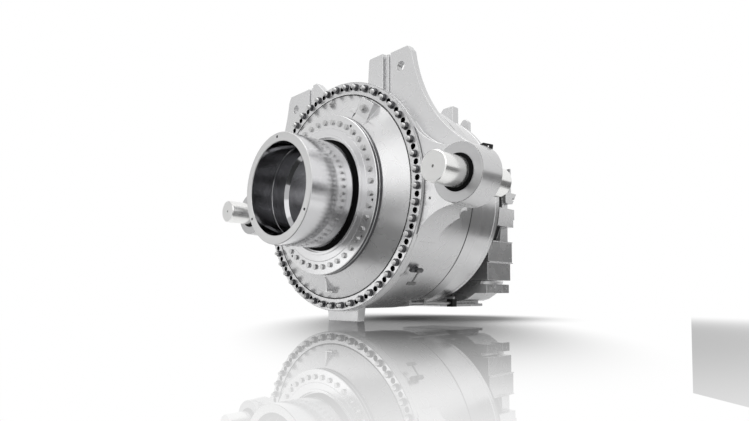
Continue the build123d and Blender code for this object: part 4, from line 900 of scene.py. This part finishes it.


# The cone's groove and the drum's end are seams whose faces get black painted shade.
CONE_GROOVE = Zone((0.7895, 0.7985), (0.5535, 0.565))
DRUM_END = Zone(y=(1.1605, ANY))
# The ring gear's front end at the seam gets black painted shade.
RING_GEAR_END = Zone(y=(-ANY, 1.1725))
DRUM_STEP = Zone(y=(1.6045, ANY))
# The pin's step and seat are painted black: partly the seal, partly painted shade.
PIN_STEP = Zone(y=(0.5205, 0.5235))
PIN_SEAT = Zone((0.0993, ANY), (0.52, 0.73))
BOSS_RING = Zone((-ANY, 0.195), (-ANY, 0.527))
# The dowel holes' wall and bottom get black painted shade.
DOWEL_SIDE = Zone((0.017, 0.0205), (0.55, 0.66))
DOWEL_BOTTOM = Zone((-ANY, 0.010), (0.6, 0.66))
# The bearing cover's rim gets dark painted shade.
COVER_RIM = Zone((0.605, ANY), (-ANY, 0.47))
HUB_BORE = Zone((-ANY, 0.347), (-ANY, 0.34))
HUB_FACE = Zone(y=(-ANY, 0.004))


def from_axis(centre: np.ndarray) -> np.ndarray:
    """Distance of each place from the main axis."""
    return np.hypot(centre[:, 0], centre[:, 2])


def from_pins(centre: np.ndarray) -> np.ndarray:
    """Distance of each place from the axis of the torque pin on its side."""
    return np.hypot(np.abs(centre[:, 0]) - PIN_X, centre[:, 2])


def from_dowels(centre: np.ndarray) -> np.ndarray:
    """Distance of each place from the nearest dowel hole's axis; the holes lie between the studs."""
    dowels, _ = circle_places(STUD_CIRCLE, STUD_COUNT, FIRST_STUD + 180.0 / STUD_COUNT, 0.0)
    return np.hypot(centre[:, :1] - dowels[None, :, 0], centre[:, 2:] - dowels[None, :, 2]).min(axis=1)


@dataclass
class Castings:
    """Merged copies of the outer CAD pieces, with eased edges and the finishes of their faces.

    Each rule takes the faces' centres and normals and says which faces it picks.

    Attributes:
        shop: Makes the pieces.
        across: Least share of Y in the normal of a face that lies across the axis.
    """

    shop: Workshop
    across: float = 0.9

    def build(self) -> None:
        """Makes all copies."""
        for node in ("torque_arm_housing", "front_cover"):
            casting = self.shop.casting(node, CAST_PAINT, 0.003)
            # Black painted shade in the open dowel holes and inside the seam grooves.
            self.shop.paint(casting, PAINTED_GAP_SHADE, self.in_dowel_hole)
            self.shop.paint(casting, PAINTED_GAP_SHADE, self.in_seam)
            self.shop.paint(casting, BOSS_FACE, self.on_boss)
        for node, width in PLAIN_CASTINGS.items():
            self.shop.casting(node, CAST_PAINT, width)
        for node in ("bearing_cover", "rear_cover"):
            cover = self.shop.casting(node, MACHINED_PAINT, 0.0015)
            # Dark painted shade on the cover's rim.
            self.shop.paint(cover, PAINTED_RIM_SHADE, self.on_rim)
        ring = self.shop.casting("ring_gear_first", MACHINED_PAINT, 0.0)
        # Black painted shade on the ring gear's front end, at the seam.
        self.shop.paint(ring, PAINTED_GAP_SHADE, lambda centre, _: RING_GEAR_END.holds(from_axis(centre), centre))
        drum = self.shop.casting("intermediate_housing", CAST_PAINT, 0.0)
        self.shop.paint(drum, DRUM_PAINT, lambda centre, _: DRUM_STEP.holds(from_axis(centre), centre))
        self.steel()

    def steel(self) -> None:
        """Makes the hub and the pins, with darker bores and matt faces."""
        hub = self.shop.casting("input_hub", HUB_STEEL, 0.0012)
        self.shop.paint(hub, BORE_STEEL, self.in_bore)
        self.shop.paint(hub, FACE_STEEL, self.on_hub_face)
        for side in ("right", "left"):
            pin = self.shop.casting("torque_pin_" + side, PIN_STEEL, 0.0)
            self.shop.paint(pin, PIN_FACE, lambda _, normal: np.abs(normal[:, 1]) > self.across)
            # Black on the pin's seat and step: partly the seal's colour, partly painted shade.
            self.shop.paint(pin, RUBBER_AND_GAP_SHADE, self.on_pin_seat)

    def on_pin_seat(self, centre: np.ndarray, normal: np.ndarray) -> np.ndarray:
        """Faces of a pin's seat, and the step in front of it, which the black seal ring covers; their black
        is partly painted shade for the recess round the pin.
        """
        step = PIN_STEP.holds(from_pins(centre), centre) & (np.abs(normal[:, 1]) > self.across)
        return step | PIN_SEAT.holds(from_pins(centre), centre)

    def on_boss(self, centre: np.ndarray, normal: np.ndarray) -> np.ndarray:
        """Machined front faces of the bosses round the torque pins."""
        return BOSS_RING.holds(from_pins(centre), centre) & (normal[:, 1] < -self.across)

    def in_seam(self, centre: np.ndarray, normal: np.ndarray) -> np.ndarray:
        """Faces inside the groove round the cone's foot, and inside the seam at the drum's end, which get
        black painted shade.
        """
        away = from_axis(centre)
        return CONE_GROOVE.holds(away, centre) | DRUM_END.holds(away, centre)

    def in_dowel_hole(self, centre: np.ndarray, normal: np.ndarray) -> np.ndarray:
        """Faces of the wall and the bottom of the open dowel holes between the studs, which get black
        painted shade.

        Args:
            centre: The faces' centres.
            normal: The faces' normals.

        Returns:
            Which faces belong to them.
        """
        away = from_dowels(centre)
        side = DOWEL_SIDE.holds(away, centre) & (np.abs(normal[:, 1]) < 0.2)
        bottom = DOWEL_BOTTOM.holds(away, centre) & (normal[:, 1] < -self.across)
        return side | bottom

    def on_rim(self, centre: np.ndarray, normal: np.ndarray) -> np.ndarray:
        """Faces of the bearing cover's rim, which get dark painted shade; the rear cover has none this far
        forward.
        """
        return COVER_RIM.holds(from_axis(centre), centre) & (np.abs(normal[:, 1]) < 0.3)

    def on_hub_face(self, centre: np.ndarray, normal: np.ndarray) -> np.ndarray:
        """Faces of the hub's front end, which look forward."""
        return HUB_FACE.holds(from_axis(centre), centre) & (normal[:, 1] < -0.5)

    def in_bore(self, centre: np.ndarray, normal: np.ndarray) -> np.ndarray:
        """Faces of the hub's bore and lip: near the axis, in front of the bulkhead, facing inward."""
        outward = normal[:, 0] * centre[:, 0] + normal[:, 2] * centre[:, 2]
        return HUB_BORE.holds(from_axis(centre), centre) & (outward < -0.2 * from_axis(centre))


@dataclass(frozen=True)
class Lamp:
    """Square soft lamp.

    Attributes:
        name: The lamp's name.
        place: Where it stands.
        aim: The point that it faces.
        size: Its side.
        power: Watts.
    """

    name: str
    place: Point
    aim: Point
    size: float
    power: float


@dataclass(frozen=True)
class Card:
    """Dark card that only shiny surfaces show, and only on its front.

    Attributes:
        name: The card's name.
        corners: Its corners, counter-clockwise as seen from its front.
        grey: Its colour.
    """

    name: str
    corners: tuple[Point, Point, Point, Point]
    grey: float


@dataclass(frozen=True)
class Patch:
    """Value on the floor that changes smoothly with the distance from a point.

    Attributes:
        middle: The point (x, y).
        near: Distance at which the change starts.
        far: Distance at which it ends.
        inside: Value up to the start.
        outside: Value from the end on.
        scale: Scales of the distance across the photograph's view and along it.
    """

    middle: Pair
    near: float
    far: float
    inside: float
    outside: float
    scale: Pair = (1.0, 1.0)


LAMPS = (
    Lamp("overhead", (0.5, 0.2, 5.0), (0.0, 1.0, 0.0), 4.0, 110.0),
    Lamp("right_front", (5.0, -2.5, 3.0), (0.5, 0.8, 0.0), 4.5, 60.0),
    Lamp("left_front", (-3.5, -4.0, 0.2), (0.0, 0.5, -0.3), 2.5, 18.0),
    Lamp("front", (1.5, -4.8, 2.6), (0.3, 0.5, 0.2), 3.2, 26.0),
)
CARDS = (
    Card(
        "flag_right",
        ((0.6, 7.4, CARD_Z), (6.4, 2.8, CARD_Z), (6.4, 2.8, 0.35), (0.6, 7.4, 0.35)),
        0.32,
    ),
    Card(
        "flag_rear_floor",
        ((1.95, 2.85, CARD_Z), (4.8, 3.3, CARD_Z), (4.8, 6.2, CARD_Z), (1.0, 6.2, CARD_Z)),
        0.10,
    ),
    Card(
        "flag_floor",
        ((-0.6, -6.0, CARD_Z), (1.4, -6.0, CARD_Z), (1.4, -0.1, CARD_Z), (-0.6, -0.1, CARD_Z)),
        0.06,
    ),
    Card(
        "flag_front",
        ((2.5, -6.0, CARD_Z), (-2.0, -6.0, CARD_Z), (-2.0, -6.0, 0.2), (2.5, -6.0, 0.2)),
        0.06,
    ),
)
# How much the floor mirrors, and the painted shadow that darkens its mirror image round the object.
MIRROR_SHARE = Patch((0.9, 0.3), 1.5, 3.6, 0.55, 0.0)
MIRROR_PAINTED_SHADOW = Patch((0.65, 0.65), 0.5, 2.0, 0.36, 1.0, (1.8, 0.72))
# Where the floor glows as white as the backdrop; inside that, a painted soft shadow round the object, and a
# darker painted contact shadow under its rear.
WHITE_SHARE = Patch((0.65, 0.65), 0.6, 2.0, 0.0, 1.0, (1.8, 0.72))
UNDER_PAINTED_SHADOW = Patch((0.25, 1.65), 0.4, 1.2, 0.1, 1.0)
# How much of a painted glow the floor shows to shiny surfaces instead of itself, and how bright it is: a
# painted reflection, dark just under the object and white round it.
GLOSSY_SHARE = Patch((0.9, 0.3), 1.6, 2.6, 0.75, 0.0)
GLOSSY_PAINTED_REFLECTION = Patch((0.0, 1.3), 0.35, 0.75, 0.12, 1.0)


@dataclass
class Studio:
    """Camera, pale floor and soft light.

    Attributes:
        eye: The camera's place.
        yaw: Angle of the view from +Y towards -X.
        pitch: Upward tilt.
        focal: Focal length in image widths.
        shift: Sideways and upward shift in image widths.
        sensor: Width of the camera's sensor in millimetres.
        sight: How far the camera sees.
        floor_half: Half the floor's side.
        floor_shadow_grey: The floor's grey round and under the object, a painted shadow that the lamps'
            shadows darken further.
        fill: Strength of the backdrop as a light.
    """

    eye: Point = (3.2156, -2.2121, -0.7676)
    yaw: float = 46.8
    pitch: float = 2.3
    focal: float = 540.0 / 749.0
    shift: Pair = (0.0214, 0.0840)
    sensor: float = 36.0
    sight: float = 200.0
    floor_half: float = 60.0
    floor_shadow_grey: float = 0.33
    fill: float = 0.28

    def build(self) -> None:
        """Makes the whole studio."""
        self.camera()
        self.floor()
        self.world()
        for lamp in LAMPS:
            self.lamp(lamp)
        for card in CARDS:
            self.flag(card)
        bpy.context.scene.view_settings.view_transform = "Standard"

    def camera(self) -> None:
        """Sets up the camera at the photograph's viewing angle."""
        data = bpy.data.cameras.new("view")
        data.sensor_width = self.sensor
        data.lens = self.sensor * self.focal
        data.shift_x, data.shift_y = self.shift
        data.clip_end = self.sight
        camera = bpy.data.objects.new("view", data)
        camera.location = self.eye
        camera.rotation_euler = (math.radians(90 + self.pitch), 0.0, math.radians(self.yaw))
        bpy.context.scene.collection.objects.link(camera)
        bpy.context.scene.camera = camera

    def sheet(self, name: str, corners: tuple[Point, ...], grey: float) -> tuple[Object, Tree]:
        """Flat sheet with a grey material of its own.

        Args:
            name: The sheet's name.
            corners: Its corners, counter-clockwise as seen from its front.
            grey: Its colour.

        Returns:
            The sheet, and its material's node tree.
        """
        mesh = bpy.data.meshes.new(name)
        mesh.from_pydata(corners, [], [(0, 1, 2, 3)])
        sheet = bpy.data.objects.new(name, mesh)
        bpy.context.scene.collection.objects.link(sheet)
        material = bpy.data.materials.new(name)
        material.use_nodes = True
        mesh.materials.append(material)
        shader = material.node_tree.nodes["Principled BSDF"]
        shader.inputs["Base Color"].default_value = (grey, grey, grey, 1.0)
        return sheet, material.node_tree

    def floor(self) -> None:
        """Lays a pale polished floor that fades into the backdrop.

        Near the object it mirrors, and its grey and its mirror image are darkened as a painted soft shadow,
        darkest under the object's rear. Shiny surfaces see a painted reflection there instead: a glow, dark
        just under the object and white round it.
        """
        far = self.floor_half
        corners = tuple((x, y, FLOOR_Z) for x, y in ((-far, -far), (far, -far), (far, far), (-far, far)))
        floor, tree = self.sheet("floor", corners, self.floor_shadow_grey)
        shader = tree.nodes["Principled BSDF"]
        shader.inputs["Roughness"].default_value = 0.8
        shader.inputs["Specular IOR Level"].default_value = 0.0
        gloss = tree.nodes.new("ShaderNodeBsdfGlossy")
        gloss.inputs["Roughness"].default_value = 0.0
        # The mirror image is darkened by a painted shadow round the object.
        tree.links.new(self.patch(tree, MIRROR_PAINTED_SHADOW), gloss.inputs["Color"])
        glow = tree.nodes.new("ShaderNodeEmission")
        tree.links.new(self.backdrop(tree), glow.inputs["Strength"])
        # Painted reflection: a glow that shiny surfaces see in the floor, dark just under the object.
        painted_reflection = tree.nodes.new("ShaderNodeEmission")
        tree.links.new(self.patch(tree, GLOSSY_PAINTED_REFLECTION), painted_reflection.inputs["Strength"])
        # Painted contact shadow under the object's rear, which takes mirror and glow away.
        under = self.patch(tree, UNDER_PAINTED_SHADOW)
        polish = maths(tree, "MULTIPLY", self.patch(tree, MIRROR_SHARE), under)
        white = maths(tree, "MULTIPLY", self.patch(tree, WHITE_SHARE), under)
        glossy = tree.nodes.new("ShaderNodeLightPath").outputs["Is Glossy Ray"]
        share = maths(tree, "MULTIPLY", glossy, self.patch(tree, GLOSSY_SHARE))
        lit = mixed(tree, white, shader.outputs[0], glow.outputs[0])
        plain = mixed(tree, polish, lit, gloss.outputs[0])
        surface = mixed(tree, share, plain, painted_reflection.outputs[0])
        tree.links.new(surface, tree.nodes["Material Output"].inputs["Surface"])

    def patch(self, tree: Tree, patch: Patch) -> Socket:
        """Value of a patch, as a smooth step of the distance from its middle.

        Args:
            tree: Tree to add the nodes to.
            patch: The patch.

        Returns:
            The value's socket.
        """
        across, along = patch.scale
        mapping = tree.nodes.new("ShaderNodeMapping")
        mapping.vector_type = "TEXTURE"
        mapping.inputs["Location"].default_value = (*patch.middle, FLOOR_Z)
        mapping.inputs["Rotation"].default_value = (0.0, 0.0, math.radians(self.yaw))
        mapping.inputs["Scale"].default_value = (1.0 / across, 1.0 / along, 1.0)
        place = tree.nodes.new("ShaderNodeTexCoord").outputs["Object"]
        tree.links.new(place, mapping.inputs["Vector"])
        length = tree.nodes.new("ShaderNodeVectorMath")
        length.operation = "LENGTH"
        tree.links.new(mapping.outputs[0], length.inputs[0])
        step = tree.nodes.new("ShaderNodeMapRange")
        step.interpolation_type = "SMOOTHSTEP"
        step.inputs["From Min"].default_value = patch.near
        step.inputs["From Max"].default_value = patch.far
        step.inputs["To Min"].default_value = patch.inside
        step.inputs["To Max"].default_value = patch.outside
        tree.links.new(length.outputs["Value"], step.inputs["Value"])
        return step.outputs[0]

    def backdrop(self, tree: Tree) -> Socket:
        """Strength of the backdrop: white where the camera or a shiny surface sees it, and soft as a light.

        Args:
            tree: Tree to add the nodes to.

        Returns:
            The strength's socket.
        """
        path = tree.nodes.new("ShaderNodeLightPath")
        shiny = maths(tree, "MAXIMUM", path.outputs["Is Camera Ray"], path.outputs["Is Glossy Ray"])
        seen = maths(tree, "MAXIMUM", shiny, path.outputs["Is Transmission Ray"])
        level = tree.nodes.new("ShaderNodeMapRange")
        level.inputs["To Min"].default_value = self.fill
        tree.links.new(seen, level.inputs["Value"])
        return level.outputs[0]

    def world(self) -> None:
        """Lights evenly from a pale backdrop, which the camera and bright metal see as white."""
        world = bpy.data.worlds.new("studio")
        bpy.context.scene.world = world
        world.use_nodes = True
        tree = world.node_tree
        shade = tree.nodes["Background"]
        shade.inputs["Color"].default_value = (1.0, 1.0, 1.0, 1.0)
        tree.links.new(self.backdrop(tree), shade.inputs["Strength"])

    def lamp(self, lamp: Lamp) -> None:
        """Adds a lamp.

        Args:
            lamp: The lamp.
        """
        data = bpy.data.lights.new(lamp.name, "AREA")
        data.size = lamp.size
        data.energy = lamp.power
        light = bpy.data.objects.new(lamp.name, data)
        light.location = lamp.place
        light.rotation_euler = (Vector(lamp.aim) - Vector(lamp.place)).to_track_quat("-Z", "Y").to_euler()
        bpy.context.scene.collection.objects.link(light)

    def flag(self, flag: Card) -> None:
        """Sets up a dark card, see-through from behind.

        Args:
            flag: The card.
        """
        card, tree = self.sheet(flag.name, flag.corners, flag.grey)
        shader = tree.nodes["Principled BSDF"]
        shader.inputs["Roughness"].default_value = 0.9
        clear = tree.nodes.new("ShaderNodeBsdfTransparent")
        back = tree.nodes.new("ShaderNodeNewGeometry").outputs["Backfacing"]
        surface = mixed(tree, back, shader.outputs[0], clear.outputs[0])
        tree.links.new(surface, tree.nodes["Material Output"].inputs["Surface"])
        card.visible_camera = False
        card.visible_diffuse = False
        card.visible_shadow = False


def main() -> None:
    """Builds the gearbox's looks in order; the workshop reports each piece."""
    logging.basicConfig(level=logging.INFO, format="%(name)s: %(message)s")
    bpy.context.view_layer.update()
    effects = EffectGroups()
    effects.build()
    finishes = Finishes(effects)
    for name, node in frame["nodes"].items():
        finishes.dress(node, NODE_FINISH.get(name, GEAR_STEEL))
    LOG.info("finishes on %d nodes", len(frame["nodes"]))
    record = frame["record"]
    bodies = {node: body for body, nodes in record["behaviour"]["bodies"].items() for node in nodes}
    slots = {entry["node"]: entry["material_slot"] for entry in record["subparts"]}
    shop = Workshop(finishes, bodies, slots)
    Castings(shop).build()
    Fasteners(shop).build()
    Studio().build()


if __name__ == "__main__":
    main()
